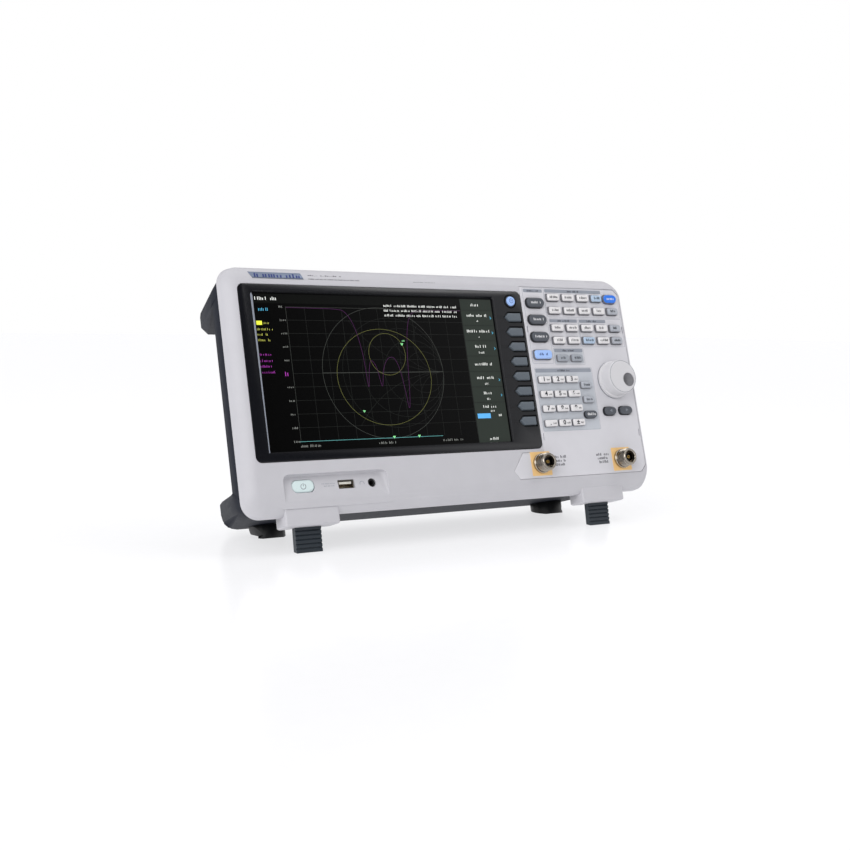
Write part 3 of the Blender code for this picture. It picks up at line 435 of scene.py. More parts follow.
def add_loft(bm, rings, along="Y"):
    """A closed skin through rings, each a position along one case axis and an outline in the other two."""
    order = ORDERS[along]
    return add_skin(bm, [[order(position, a, b) for a, b in outline] for position, outline in rings])


def add_lathe(bm, centre, profile, along="Y", segments=64):
    """A turned shape on one case axis, from (position along it, radius) pairs."""
    rings = [(position, ellipse(*centre, radius, segments=segments)) for position, radius in profile]
    return add_loft(bm, rings, along)


def add_prism(bm, outline, front, back, along="Y"):
    return add_loft(bm, [(front, outline), (back, outline)], along)


def add_stroke(bm, points, width, front, back, closed=False):
    """A flat ribbon of one width along points in X and Z, as a closed solid with mitred bends."""
    count = len(points)
    sides = []
    for index, point in enumerate(points):
        before = points[index - 1] if closed or index else point
        after = points[(index + 1) % count] if closed or index < count - 1 else point
        reach = Vector(point) - Vector(before), Vector(after) - Vector(point)
        normals = [Vector((-arm.y, arm.x)).normalized() for arm in reach if arm.length > 1e-6]
        middle = sum(normals, Vector((0.0, 0.0))).normalized()
        offset = middle * (width / 2) / max(0.5, middle.dot(normals[0]))
        sides.append((Vector(point) + offset, Vector(point) - offset))
    corners = [((a, front), (b, front), (b, back), (a, back)) for a, b in sides]
    rows = [[bm.verts.new((p.x, y, p.y)) for p, y in section] for section in corners]
    spans = list(zip(rows, rows[1:])) + ([(rows[-1], rows[0])] if closed else [])
    for near, far in spans:
        for index in range(4):
            following = (index + 1) % 4
            bm.faces.new((near[index], near[following], far[following], far[index]))
    if not closed:
        bm.faces.new(rows[0])
        bm.faces.new(rows[-1])
    return bm


def case_extent(node):
    """A CAD node's lowest and highest corners in case millimetres."""
    points = [TO_CASE @ vertex.co for vertex in frame["nodes"][node].data.vertices]
    return [Vector([pick(point[axis] for point in points) for axis in range(3)]) for pick in (min, max)]


def stepped(sides, steps, *segments):
    """Rings of a rounded rectangle, from (position, how far it's grown, corner radius) triples."""
    return [(y, rounded_rectangle(*grown(sides, margin), radius, *segments)) for y, margin, radius in steps]


def node_sides(node):
    """A CAD node's front rectangle."""
    low, high = case_extent(node)
    return low.x, high.x, low.z, high.z


def node_centre(node):
    """The X and Z of a CAD node's middle."""
    low, high = case_extent(node)
    return (low.x + high.x) / 2, (low.z + high.z) / 2


def cap_faces(node):
    """The flat front of each key cap on a CAD node, as rectangles, row by row from the top left."""
    bm = bmesh.new()
    bm.from_mesh(frame["nodes"][node].data)
    bm.transform(TO_CASE)
    bmesh.ops.remove_doubles(bm, verts=bm.verts[:], dist=0.005)
    front = min(vert.co.y for vert in bm.verts)
    waiting = {face for face in bm.faces if max(vert.co.y for vert in face.verts) < front + 0.05}
    found = []
    while waiting:
        pending, island = [waiting.pop()], []
        while pending:
            face = pending.pop()
            island += [vert.co for vert in face.verts]
            for near in {link for edge in face.edges for link in edge.link_faces} & waiting:
                waiting.discard(near)
                pending.append(near)
        xs, zs = [co.x for co in island], [co.z for co in island]
        found.append((min(xs), max(xs), min(zs), max(zs)))
    bm.free()
    return sorted(found, key=lambda cap: (-round(cap[2]), cap[0]))


def writing(x, z, width, height, seed, weight=0.18, gap=0.22):
    """Generic marks that stand for print: words of upright ticks of uneven height, centred on x and z."""
    chance = random.Random(seed)
    marks, left, ticks = [], x - width / 2, chance.randint(4, 9)
    stroke = height * weight
    while left + stroke <= x + width / 2 + 1e-6:
        top = z + height / 2 * chance.choice((0.3, 0.6, 1.0))
        marks.append((left, left + stroke, z - height / 2, top))
        left += stroke + height * gap * chance.choice((1.0, 1.0, 2.0))
        ticks -= 1
        if not ticks:
            left += height * 0.8
            ticks = chance.randint(4, 9)
    return marks


def soften(piece, width, segments=2, angle=35.0):
    """Rounds a piece's sharp edges a little, as moulding does."""
    modifier = piece.modifiers.new("rounded_edges", "BEVEL")
    modifier.width = width * MM
    modifier.segments = segments
    modifier.limit_method = "ANGLE"
    modifier.angle_limit = radians(angle)
    modifier.harden_normals = True
    return piece


FLAT_LOOKS = ("sheet_steel", "module_box", "board_green")  # looks of folded and flat parts, which shade flat


def keep_node(node, look, edge=0.3):
    """Dresses a CAD node that stays in view: its edges are rounded and its curved faces shade smoothly."""
    piece = frame["nodes"][node]
    piece.data.materials.clear()
    piece.data.materials.append(surface(look))
    if look not in FLAT_LOOKS:
        piece.data.shade_smooth()
    weld = piece.modifiers.new("weld", "WELD")
    weld.merge_threshold = 0.002 * MM
    soften(piece, edge)


def between(near, far, share):
    return [a + (b - a) * share for a, b in zip(near, far)]


# ---- Front bezel ----

BEZEL = (-196.8, 196.8, 7.9, 207.0)
BEZEL_BACK = 11.8
SURROUND = (-184.5, 82.2, 50.0, 191.2)
SEAM = 0.3
PORT_RECESS = (-165.0, -74.5, 16.0, 39.8)
PORT_DEPTH, PORT_EDGE = 5.5, 0.15  # at its top, and at its bottom where it runs out
BROW = ((196.6, 0.0), (200.0, 1.0), (203.6, 3.2), (206.2, 6.5))  # the brow's own curve, Z then Y


def panel_outline(margin=0.0):
    """The key panel's outline: a tall plate with a low wing that runs left around the first connector."""
    low, high = case_extent("keypad_panel")
    left, right, bottom, top = 82.6 - margin, high.x + margin, low.z - margin, high.z + margin
    wing_top, corner = 46.5 + margin, 6.0
    return [
        (54.0 - margin, bottom),
        (right - corner, bottom),
        (right, bottom + corner),
        (right, top - corner),
        (right - corner, top),
        (left, top),
        (left, wing_top),
        (60.0 - margin, wing_top),
        (low.x - margin, 31.0),
    ]


def port_recess():
    """The cutter for the port recess: deepest along its top, and run out to nothing at its bottom."""
    left, right, bottom, top = PORT_RECESS
    reach = 6.0
    mouth = rounded_rectangle(*PORT_RECESS, 5.0)
    floor = rounded_rectangle(left + reach, right - reach, bottom + 1.0, top - 1.5, 4.0)
    rows = [[(x, -3.0, z) for x, z in mouth]]
    for turn in (0, 25, 45, 65, 90):
        inward = 1 - cos(radians(turn))
        row = []
        for start, end in zip(mouth, floor):
            depth = PORT_EDGE + (PORT_DEPTH - PORT_EDGE) * (start[1] - bottom) / (top - bottom)
            x, z = between(start, end, inward * depth / PORT_DEPTH)
            row.append((x, depth * sin(radians(turn)), z))
        rows.append(row)
    return add_skin(bmesh.new(), rows)


def build_bezel():
    left, right, bottom, top = BEZEL
    skin = (
        (0.0, 11.5, 0.9, 15.1, 10.4, 8.0),
        (0.35, 9.9, 0.6, 12.4, 8.9, 9.6),
        (1.0, 8.2, 0.3, 9.6, 7.0, 11.0),
        (2.0, 6.3, 0.12, 6.6, 5.1, 12.4),
        (3.2, 4.5, 0.0, 4.1, 3.4, 13.5),
        (4.8, 2.7, 0.0, 2.0, 1.9, 14.1),
        (6.5, 1.2, 0.0, 0.5, 0.8, 14.5),
        (BEZEL_BACK, 0.0, 0.0, 0.0, 0.0, 14.0),
    )
    bm = bmesh.new()
    rings = []
    for y, in_left, in_right, in_bottom, in_top, radius in skin:
        sides = (left + in_left, right - in_right, bottom + in_bottom, top - in_top)
        rings.append((y, rounded_rectangle(*sides, radius, 12)))
    add_loft(bm, rings)
    hollow = bmesh.new()
    inner = ((2.5, -182.0, 191.5, 27.0, 193.0, 8.0), (BEZEL_BACK + 1.0, -194.0, 194.0, 10.4, 204.5, 13.5))
    add_loft(hollow, [(y, rounded_rectangle(*outline, 8)) for y, *outline in inner])
    bm = combine(bm, hollow)

    pan, tails, blocks = bmesh.new(), bmesh.new(), bmesh.new()
    pan_left, pan_right, pan_bottom, pan_top = grown(PORT_RECESS, 2.5)
    add_box(pan, (pan_left, 1.8, pan_bottom), (pan_right, PORT_DEPTH + 2.5, pan_top))
    for side in (-1, 1):
        near, far = sorted((side * 119.4, side * 165.2))
        for added, front, back, corner, upper in (
            (tails, 8.0, 23.0, 2.2, ((11.7, 0.0),)),
            (blocks, 2.4, 11.2, 1.6, ((13.0, 0.0), (14.3, 0.6))),
        ):
            rings = []
            for z, inset in ((0.0, 1.2), (0.4, 0.5), (1.2, 0.0)) + upper:
                section = near + inset, far - inset, front + inset, back - inset
                rings.append((z, rounded_rectangle(*section, corner)))
            add_loft(added, rings, along="Z")
    for added in (pan, tails, blocks):
        bm = combine(bm, added, "UNION")

    openings = bmesh.new()
    lips = ((-2.0, SEAM + 2.2, 6.0), (0.0, SEAM + 0.35, 5.3), (0.35, SEAM, 5.0), (6.0, SEAM, 5.0))
    add_loft(openings, stepped(SURROUND, lips))
    bm = combine(bm, openings)
    bm = combine(bm, add_prism(bmesh.new(), panel_outline(SEAM), -2.0, 6.0))
    bm = combine(bm, port_recess())

    holes = bmesh.new()
    for node, margin, corner in (("power_button", 0.35, 4.5), ("usb_socket", 0.3, 0.8)):
        add_prism(holes, rounded_rectangle(*grown(node_sides(node), margin), corner), -1.0, 10.0)
    add_lathe(holes, node_centre("headphone_jack"), ((-1.0, 3.6), (10.0, 3.6)), segments=48)
    for side, name in ((-1, "left"), (1, "right")):
        hinge = TO_CASE @ Vector(JOINTS["leg_fold_" + name]["pos_m"])
        near, far = sorted((side * 131.4, side * 154.4))
        add_box(holes, (near, hinge.y - 3.5, -2.0), (far, 28.0, 9.0))
    bm = combine(bm, holes)
    soften(place_piece(bm, "bezel", "bezel_plastic", replaces=["front_bezel"]), 0.25)


def brow(z):
    """How far back the bezel's front skin is at a height on the brow above the panel."""
    for (low, near), (high, far) in zip(BROW, BROW[1:]):
        if low <= z <= high:
            return near + (far - near) * (z - low) / (high - low)
    return 0.0


def drape(bm):
    """Bends flat pieces on the brow to follow its curve."""
    for level, _ in BROW[:-1]:
        geometry = bm.verts[:] + bm.edges[:] + bm.faces[:]
        bmesh.ops.bisect_plane(bm, geom=geometry, plane_co=(0.0, 0.0, level), plane_no=(0.0, 0.0, 1.0))
    for vert in bm.verts:
        vert.co.y += brow(vert.co.z)
    return bm


def build_brow_marks():
    """A blank slanted badge plate and rows of generic marks along the bezel's brow."""
    plate = [(-171.2, 196.0), (-127.4, 196.0), (-129.4, 201.6), (-174.2, 201.6)]
    place_piece(drape(add_prism(bmesh.new(), plate, -0.35, 0.4)), "badge_plate", "badge_silver")
    badge = ((-146.4, 198.6, 32.0, 3.6), (-167.4, 198.6, 4.4, 3.6))
    rows = ((-108.0, 199.2, 30.0, 2.8), (-100.0, 196.6, 46.0, 0.9), (-15.0, 197.6, 22.0, 1.8))
    for name, look, places, seed, weight, front in (
        ("badge_marks", "print_blue", badge, 0, 0.36, -0.4),
        ("brow_marks", "print_dark", rows, 4, 0.42, -FRONT_SKIN),
    ):
        bm = bmesh.new()
        for row, place in enumerate(places):
            add_plates(bm, writing(*place, seed + row, weight), front, 0.3)
        place_piece(drape(bm), name, look)


# ---- Display and soft keys ----

WINDOW = (-173.1, 53.0, 57.0, 185.8)
GLASS_FRONT = 2.3


def softkey_outline(z, margin):
    low, high = case_extent("softkey_1")
    half = (high.z - low.z) / 2 + margin
    tip, end = low.x - margin, high.x + margin
    return [(tip, z), (tip + half, z - half), (end, z - half), (end, z + half), (tip + half, z + half)]


def softkey_heights():
    return [node_centre(f"softkey_{number}")[1] for number in range(1, 9)]


def build_surround():
    bm = bmesh.new()
    edge = ((0.0, -0.5, 4.5), (0.15, -0.15, 4.85), (0.5, 0.0, 5.0), (2.0, 0.0, 5.0))
    add_loft(bm, stepped(SURROUND, edge, 10))
    window = bmesh.new()
    slope = ((-1.0, 0.6, 2.0), (0.0, 0.2, 1.8), (0.3, 0.0, 1.6), (2.6, -1.0, 0.6))
    add_loft(window, stepped(WINDOW, slope))
    bm = combine(bm, window)
    low, high = case_extent("screen_button")
    button, radius = node_centre("screen_button"), (high.x - low.x) / 2
    low_tip = case_extent("softkey_1")[0].x
    pockets, holes = bmesh.new(), bmesh.new()
    for z in softkey_heights():
        walls = ((-1.0, 1.7), (0.0, 1.4), (1.1, 1.0))
        add_loft(pockets, [(y, softkey_outline(z, margin)) for y, margin in walls])
        add_prism(holes, softkey_outline(z, 0.35), -1.0, 4.0)
        for rise in (-0.9, 0.9):
            add_box(pockets, (53.6, -1.0, z + rise - 0.16), (low_tip - 1.0, 0.22, z + rise + 0.16))
    add_lathe(pockets, button, ((-1.0, radius + 1.6), (0.0, radius + 1.3), (0.8, radius + 0.8)))
    add_lathe(holes, button, ((-1.0, radius + 0.35), (4.0, radius + 0.35)))
    bm = combine(bm, pockets)
    bm = combine(bm, holes)
    place_piece(bm, "display_surround", "surround_plastic", replaces=["screen_surround"])
    # Painted highlight: a pale grey strip along the window's left edge.
    bm = bmesh.new()
    left, _, bottom, top = WINDOW
    strip = [(left - 0.5, bottom), (left + 0.3, bottom), (left + 0.3, top - 4.0), (left - 0.6, top - 1.4)]
    add_prism(bm, strip + [(left - 1.6, top - 3.4), (left - 1.4, top - 8.0)], -0.06, 0.5)
    soften(place_piece(bm, "window_highlight_strip", "painted_highlight"), 0.15)

    # Painted shade: near-black plates on the floors of the pockets round the soft keys and the round button.
    shade_plates, holes = bmesh.new(), bmesh.new()
    for z in softkey_heights():
        add_prism(shade_plates, softkey_outline(z, 0.98), 1.06, 1.2)
        add_prism(holes, softkey_outline(z, 0.34), 0.5, 2.0)
    add_lathe(shade_plates, button, ((0.76, radius + 0.78), (0.9, radius + 0.78)))
    add_lathe(holes, button, ((0.2, radius + 0.34), (2.0, radius + 0.34)))
    place_piece(combine(shade_plates, holes), "pocket_shade_plates", "painted_pocket_shade")


def build_softkeys():
    for number, z in enumerate(softkey_heights(), 1):
        node = f"softkey_{number}"
        back = case_extent(node)[1].y
        bm = bmesh.new()
        steps = ((-1.6, -1.5), (-1.5, -0.9), (-1.15, -0.45), (-0.4, -0.12), (0.3, 0.0), (back, 0.0))
        add_loft(bm, [(y, softkey_outline(z, margin)) for y, margin in steps])
        soften(place_piece(bm, f"soft_key_cap_{number}", "soft_key", body=node, replaces=[node]), 0.2)
    low, high = case_extent("screen_button")
    centre, radius = node_centre("screen_button"), (high.x - low.x) / 2
    bm = bmesh.new()
    shares = ((-2.2, 0.6), (-2.1, 0.74), (-1.75, 0.82), (-0.9, 0.86), (0.4, 0.86))
    add_lathe(bm, centre, [(y, share * radius) for y, share in shares], segments=48)
    place_piece(bm, "round_button_cap", "pale_blue_key", body="screen_button", replaces=["screen_button"])
    # Painted shade: a dark ring round the button's edge.
    bm = bmesh.new()
    add_lathe(bm, centre, ((-0.7, 0.9 * radius), (-0.4, radius), (high.y, radius)), segments=48)
    place_piece(bm, "round_button_shade_ring", "painted_dark_key_shade", body="screen_button")
    bm = bmesh.new()
    x, z = centre
    add_stroke(bm, ellipse(x, z, 1.9, segments=32), 0.35, -2.23, -2.1, closed=True)
    add_plates(bm, [(x - 0.9, x + 0.9, z - 0.2, z + 0.2)], -2.23, -2.1)
    place_piece(bm, "round_button_mark", "print_blue", body="screen_button")


def add_interface(name, look, shapes, height=0.03):
    """Flat shapes on the display's face: a rectangle, a row of marks, or a stroke with a width."""
    bm = bmesh.new()
    front, back = GLASS_FRONT - height, GLASS_FRONT + 0.2
    for kind, *facts in shapes:
        if kind == "area":
            add_plates(bm, [facts], front, back)
        elif kind == "marks":
            x, z, width, mark_height = facts
            add_plates(bm, writing(x, z, width, mark_height, f"{x} {z}", 0.18, 0.36), front, back)
        else:
            points, width, closed = facts
            add_stroke(bm, points, width, front, back, closed)
    place_piece(bm, name, look)


def smooth(points, steps=6):
    """Points along a smooth curve through the given ones."""
    ends = [points[0]] + list(points) + [points[-1]]
    curve = []
    for a, b, c, d in zip(ends, ends[1:], ends[2:], ends[3:]):
        for step in range(steps):
            t = step / steps
            curve.append(tuple(
                0.5 * (2 * q + (r - p) * t + (2 * p - 5 * q + 4 * r - s) * t**2
                       + (3 * q - p - 3 * r + s) * t**3)
                for p, q, r, s in zip(a, b, c, d)
            ))
    return curve + [points[-1]]


GRAPH = (-145.0, 18.4, 65.3, 173.7)
MENU = (18.9, 51.0, 57.0, 183.8)
CHART_CENTRE, CHART_RADII = (-63.3, 119.6), (56.0, 54.9)


def build_interface():
    """The analyzer's screen: a round impedance chart with its traces, and a column of menu fields."""
    low, high = case_extent("display_glass")
    bm = add_prism(bmesh.new(), rounded_rectangle(*node_sides("display_glass"), 1.5), low.y, high.y)
    place_piece(bm, "display_face", "screen_glass", replaces=["display_glass"])

    menu_left, menu_right, menu_bottom, menu_top = MENU
    add_interface("ui_top_bar", "ui_bar", [("area", WINDOW[0] + 1.8, menu_left, 176.6, 184.0)], 0.02)
    add_interface("ui_menu_column", "ui_menu", [("area", *MENU)], 0.02)
    field = [174.0 - 13.6 * step for step in range(7)]
    rules = [("area", menu_left, menu_right, z - 0.2, z + 0.2) for z in field]
    rules.append(("area", menu_left - 0.3, menu_left + 0.2, menu_bottom, menu_top))
    add_interface("ui_menu_rules", "ui_line", rules, 0.035)
    build_chart()
    build_readings()
    build_menu_texts()


def build_chart():
    """The graph: a grid, the round impedance chart with its inner arcs, and the traces over it."""
    left, right, bottom, top = GRAPH
    column, row = (right - left) / 10, (top - bottom) / 10
    grid = [("area", left + column * n - 0.1, left + column * n + 0.1, bottom, top) for n in range(1, 11)]
    grid += [("area", left, right, bottom + row * n - 0.1, bottom + row * n + 0.1) for n in range(1, 10)]
    add_interface("ui_grid", "ui_grid", grid, 0.02)
    x, z = CHART_CENTRE
    wide, tall = CHART_RADII
    arcs = []
    for share in (0.32, 0.5, 0.68, 0.84):
        circle = ellipse(x + wide * (1 - share), z, wide * share, tall * share, 72)
        arcs.append(("stroke", circle, 0.2, True))
    for size in (0.45, 0.9, 1.8):
        for side in (-1, 1):
            turns = [2 * pi * step / 96 for step in range(97)]
            arc = [(1.0 + size * sin(turn), side * size * (1 - cos(turn))) for turn in turns]
            inside = [(x + wide * across, z + tall * up) for across, up in arc if across**2 + up**2 < 0.995]
            arcs.append(("stroke", inside, 0.2, False))
    add_interface("ui_chart_arcs", "ui_faint", arcs, 0.025)
    chart = [("stroke", ellipse(x, z, wide, tall, 96), 0.3, True)]
    chart.append(("stroke", [(x - wide, z + 0.1), (x + wide, z + 0.1)], 0.5, False))
    chart.append(("area", left - 0.12, left + 0.12, bottom, top))
    chart.append(("area", left, right, top - 0.12, top + 0.12))
    add_interface("ui_chart_outline", "ui_dim", chart, 0.03)
    add_interface("ui_baseline", "ui_teal", [("area", left - 1.0, -16.0, 65.0, 65.35)], 0.045)
    loops = [("stroke", ellipse(-63.4, 116.0, 43.5, 40.2, 96), 0.3, True)]
    loops += [("stroke", ellipse(-58.8, 135.0, 17.0, 17.6, 64), 0.3, True)]
    add_interface("ui_yellow_trace", "ui_yellow", loops, 0.05)
    dip = (
        (-144.8, 173.2), (-120.0, 173.0), (-100.0, 172.4), (-93.5, 170.2), (-88.0, 162.5), (-84.0, 150.0),
        (-81.2, 132.0), (-79.8, 107.9), (-77.4, 122.0), (-74.6, 129.6), (-70.4, 124.0), (-67.2, 108.3),
        (-64.4, 121.0), (-60.6, 129.2), (-56.2, 132.4), (-52.2, 130.6), (-48.6, 121.0), (-46.0, 102.0),
        (-44.6, 89.6), (-42.6, 100.0), (-40.2, 130.0), (-37.4, 153.0), (-33.8, 165.4), (-28.5, 171.2),
        (-15.0, 172.9), (18.2, 173.2),
    )
    add_interface("ui_magenta_trace", "ui_magenta", [("stroke", smooth(dip), 0.34, False)], 0.06)
    markers = [("stroke", [(x - 0.9, z + 1.4), (x, z), (x + 0.9, z + 1.4)], 0.5, True)
               for x, z in ((-43.8, 142.6), (-62.2, 65.0), (-38.7, 65.0))]
    markers.append(("marks", -42.0, 146.6, 2.6, 1.8))
    markers.append(("stroke", [(-87.4, 88.2), (-86.6, 87.0), (-85.8, 88.2)], 0.4, True))
    add_interface("ui_green_markers", "ui_green", markers, 0.07)


def build_readings():
    """Rows of generic marks round the graph, where the instrument shows its settings and readings."""
    left, _, bottom, top = GRAPH
    row = (top - bottom) / 10
    scale = [("marks", left - 3.4, top - row * n, 5.0, 1.6) for n in range(11) if n != 5]
    footers = ((-135.8, 61.6, 19.0), (-68.4, 61.5, 16.5), (-6.0, 61.5, 20.5))
    scale += [("marks", x, z, width, 1.9) for x, z, width in footers]
    add_interface("ui_scale_marks", "ui_grey", scale, 0.04)
    white = [("marks", -21.0, z, 71.0, 1.9) for z in (176.4, 172.3, 168.2)]
    white.append(("marks", -160.9, 180.3, 19.0, 2.6))
    add_interface("ui_readings", "ui_white", white, 0.045)
    add_interface("ui_mode_marks", "ui_cyan", [("marks", -163.4, 171.4, 9.6, 2.4)], 0.04)
    add_interface("ui_trace_tag", "ui_yellow_tag", [("area", -171.2, -166.4, 158.7, 162.0)], 0.04)
    rows = ((-162.3, 160.4, 5.4), (-164.2, 155.3, 14.0), (-167.0, 151.0, 8.4), (-166.0, 146.5, 10.0))
    yellow = [("marks", x, z, width, 1.9) for x, z, width in rows]
    add_interface("ui_yellow_marks", "ui_yellow_text", yellow, 0.05)
    rows = ((-165.6, 135.0, 11.0), (-166.2, 129.9, 10.6), (-167.0, 125.5, 9.6), (-165.2, 120.8, 10.8))
    magenta = [("marks", x, z, width, 1.9) for x, z, width in rows] + [("marks", -149.5, 119.2, 4.6, 3.4)]
    add_interface("ui_magenta_marks", "ui_magenta_text", magenta, 0.05)


def build_menu_texts():
    """The menu column: a row of marks and a smaller value for each field, with an arrow at its right."""
    rows = (
        (34.6, 178.8, 9.5, 2.4), (34.4, 169.5, 20.0, 2.4), (34.4, 164.4, 1.2, 1.6), (34.4, 155.4, 24.0, 2.4),
        (34.4, 150.2, 1.2, 1.6), (34.5, 141.8, 11.6, 2.4), (34.4, 136.4, 5.6, 1.9), (34.7, 126.1, 17.8, 2.4),
        (34.7, 114.1, 17.4, 2.4), (35.0, 108.8, 3.6, 1.8), (34.6, 100.6, 7.8, 2.4), (35.0, 95.4, 3.8, 1.8),
        (34.8, 88.8, 13.3, 2.4), (37.0, 84.9, 3.6, 1.6), (44.5, 81.0, 3.4, 2.0), (34.8, 60.8, 9.0, 2.2),
    )
    add_interface("ui_menu_marks", "ui_white", [("marks", *facts) for facts in rows], 0.04)
    arrows = [("stroke", [(47.9, z + 1.0), (49.0, z), (47.9, z - 1.0)], 0.4, False)
              for z in (167.3, 153.9, 139.9, 112.0, 98.5)]
    add_interface("ui_menu_arrows", "ui_cyan", arrows, 0.045)
    add_interface("ui_highlight", "ui_blue", [("area", 21.0, 34.2, 78.6, 82.8)], 0.03)


# ---- Key panel and keys ----

KEY_CORNER = 1.4
MATS = (
    "setting_keys_upper", "setting_keys_lower", "marker_function_keys_upper", "marker_function_keys_lower",
    "measure_keys", "number_keys",
)
# The caps that aren't their mat's usual colour, by their place in the mat
ODD_CAPS = {
    ("setting_keys_upper", 3): "light_blue_key",
    ("setting_keys_lower", 4): "grey_key",
    ("marker_function_keys_upper", 4): "grey_key",
    ("marker_function_keys_lower", 2): "light_blue_key",
    ("marker_function_keys_lower", 4): "grey_key",
    ("measure_keys", 0): "slate_blue_key",
    ("measure_keys", 1): "slate_blue_key",
}
# Single keys: look, corner radius, look of their marks
SINGLES = {
    "frequency_key": ("dark_key", 4.3, "print_light"),
    "span_key": ("dark_key", 4.3, "print_light"),
    "amplitude_key": ("dark_key", 4.3, "print_light"),
    "auto_tune_key": ("pale_blue_key", 2.6, "print_blue"),
    "preset_key": ("blue_key", 3.9, "print_light"),
    "back_key": ("grey_key", 1.4, "print_dark"),
    "escape_key": ("grey_key", 1.4, "print_dark"),
    "enter_key": ("dark_key", 3.5, "print_light"),
    "arrow_key_left": ("dark_key", 3.7, "print_and_shade_grey"),
    "arrow_key_right": ("dark_key", 3.7, "print_and_shade_grey"),
}
CAP_CHAMFER = 0.7
NUMERALS = "123456789.0±"


def mat_caps(node):
    return [grown(cap, CAP_CHAMFER) for cap in cap_faces(node)]


def add_cap(bm, sides, corner, front, back):
    """A moulded key cap: straight below the panel, drawn in above it, with a faintly dished face."""
    half = min(sides[1] - sides[0], sides[3] - sides[2]) / 2
    steps = (
        (back, 0.0), (0.3, 0.0), (-0.5, 0.12), (front + 1.1, 0.42), (front + 0.5, 0.62),
        (front + 0.16, 0.9), (front + 0.02, 1.25), (front, 1.6), (front + 0.1, 2.4),
    )
    rings = []
    for y, inset in steps:
        radius = min(max(0.5, corner - inset * 0.35), half - inset - 0.02)
        rings.append((y, rounded_rectangle(*grown(sides, -inset), radius, 7)))
    return add_loft(bm, rings)


def add_shade_band(bm, sides, corner, front):
    """A darker band round a cap's foot, a hair proud of its sides: painted shade on the cap's sides and in
    the gap round it.
    """
    steps = ((0.3, 0.0), (-0.5, -0.08), (front + 1.5, -0.28), (front + 1.4, -0.6))
    return add_loft(bm, stepped(sides, [(y, margin, corner) for y, margin in steps], 7))


def key_marks(sides, front, seed):
    """Generic printed marks on a key's face, wide in proportion to it."""
    left, right, bottom, top = sides
    bm = bmesh.new()
    width = (right - left) * random.Random(seed).choice((0.5, 0.58, 0.66))
    marks = writing((left + right) / 2, (bottom + top) / 2, width, 2.3, seed, 0.24)
    return add_plates(bm, marks, front - 0.02, front + 0.4)


def numeral(text, x, z, height, front):
    """A printed numeral as a thin solid facing forward."""
    curve = bpy.data.curves.new("numeral", "FONT")
    curve.body = text
    curve.size = height * 1.35
    curve.align_x, curve.align_y = "CENTER", "CENTER"
    curve.extrude = 0.15
    curve.offset = 0.16
    label = bpy.data.objects.new("numeral", curve)
    bpy.context.scene.collection.objects.link(label)
    graph = bpy.context.evaluated_depsgraph_get()
    bm = bmesh.new()
    bm.from_mesh(label.evaluated_get(graph).to_mesh())
    bpy.data.objects.remove(label)
    bpy.data.curves.remove(curve)
    bm.transform(Matrix.Translation((x, front + 0.13, z)) @ Matrix.Rotation(pi / 2, 4, "X"))
    return bm


def build_mat_keys():
    for node in MATS:
        caps = mat_caps(node)
        front = case_extent(node)[0].y
        groups = {}
        for place, cap in enumerate(caps):
            groups.setdefault(ODD_CAPS.get((node, place), "white_key"), []).append((place, cap))
        for look, members in groups.items():
            bm = bmesh.new()
            for _, cap in members:
                add_cap(bm, cap, KEY_CORNER, front, 3.3)
            place_piece(bm, f"{node}_{look}_caps", look, body=node)
        # Painted shade: a darker band round every cap's foot.
        shade_bands = bmesh.new()
        for cap in caps:
            add_shade_band(shade_bands, cap, KEY_CORNER, front)
        place_piece(shade_bands, f"{node}_skirts", "key_skirt", body=node)
        web = add_prism(bmesh.new(), rounded_rectangle(*node_sides(node), 1.6), 3.2, 4.4)
        place_piece(web, f"{node}_web", "dark_key", body=node, replaces=[node])
        for place, cap in enumerate(caps):
            name = f"{node}_label_{place + 1}"
            if node == "number_keys":
                middle = (cap[2] + cap[3]) / 2
                digit = numeral(NUMERALS[place], cap[0] + 5.2, middle, 4.2, front)
                place_piece(digit, name, "print_dark", body=node)
                bm = bmesh.new()
                marks = writing(cap[0] + 9.8, middle - 0.4, 3.4, 1.5, name)
                add_plates(bm, marks, front - 0.02, front + 0.4)
                place_piece(bm, name + "_unit", "print_dark", body=node)
                continue
            place_piece(key_marks(cap, front, name), name, "print_dark", body=node)


def build_single_keys():
    for node, (look, corner, marks) in SINGLES.items():
        low, high = case_extent(node)
        sides = node_sides(node)
        bm = add_cap(bmesh.new(), sides, corner, low.y, high.y)
        place_piece(bm, node + "_cap", look, body=node, replaces=[node])
        # Painted shade: a darker band round the cap's foot.
        shade_band = add_shade_band(bmesh.new(), sides, corner, low.y)
        shade_look = "painted_dark_key_shade" if look == "dark_key" else "key_skirt"
        place_piece(shade_band, node + "_skirt", shade_look, body=node)
        if node.startswith("arrow"):
            x, z = node_centre(node)
            point = -1.0 if node.endswith("left") else 1.0
            arrow = [(x + point * 1.8, z), (x - point * 1.1, z + 1.5), (x - point * 1.1, z - 1.5)]
            bm = add_prism(bmesh.new(), arrow, low.y - 0.02, low.y + 0.4)
        else:
            bm = key_marks(sides, low.y, node)
        place_piece(bm, node + "_marks", marks, body=node)


def round_holes(sides_and_corners, margin):
    bm = bmesh.new()
    for sides, corner in sides_and_corners:
        steps = ((-1.0, 1.0, 0.8), (0.0, 0.22, 0.3), (0.3, 0.0, 0.2), (4.0, 0.0, 0.2))
        add_loft(bm, stepped(sides, [(y, margin + more, corner + rounder) for y, more, rounder in steps]))
    return bm


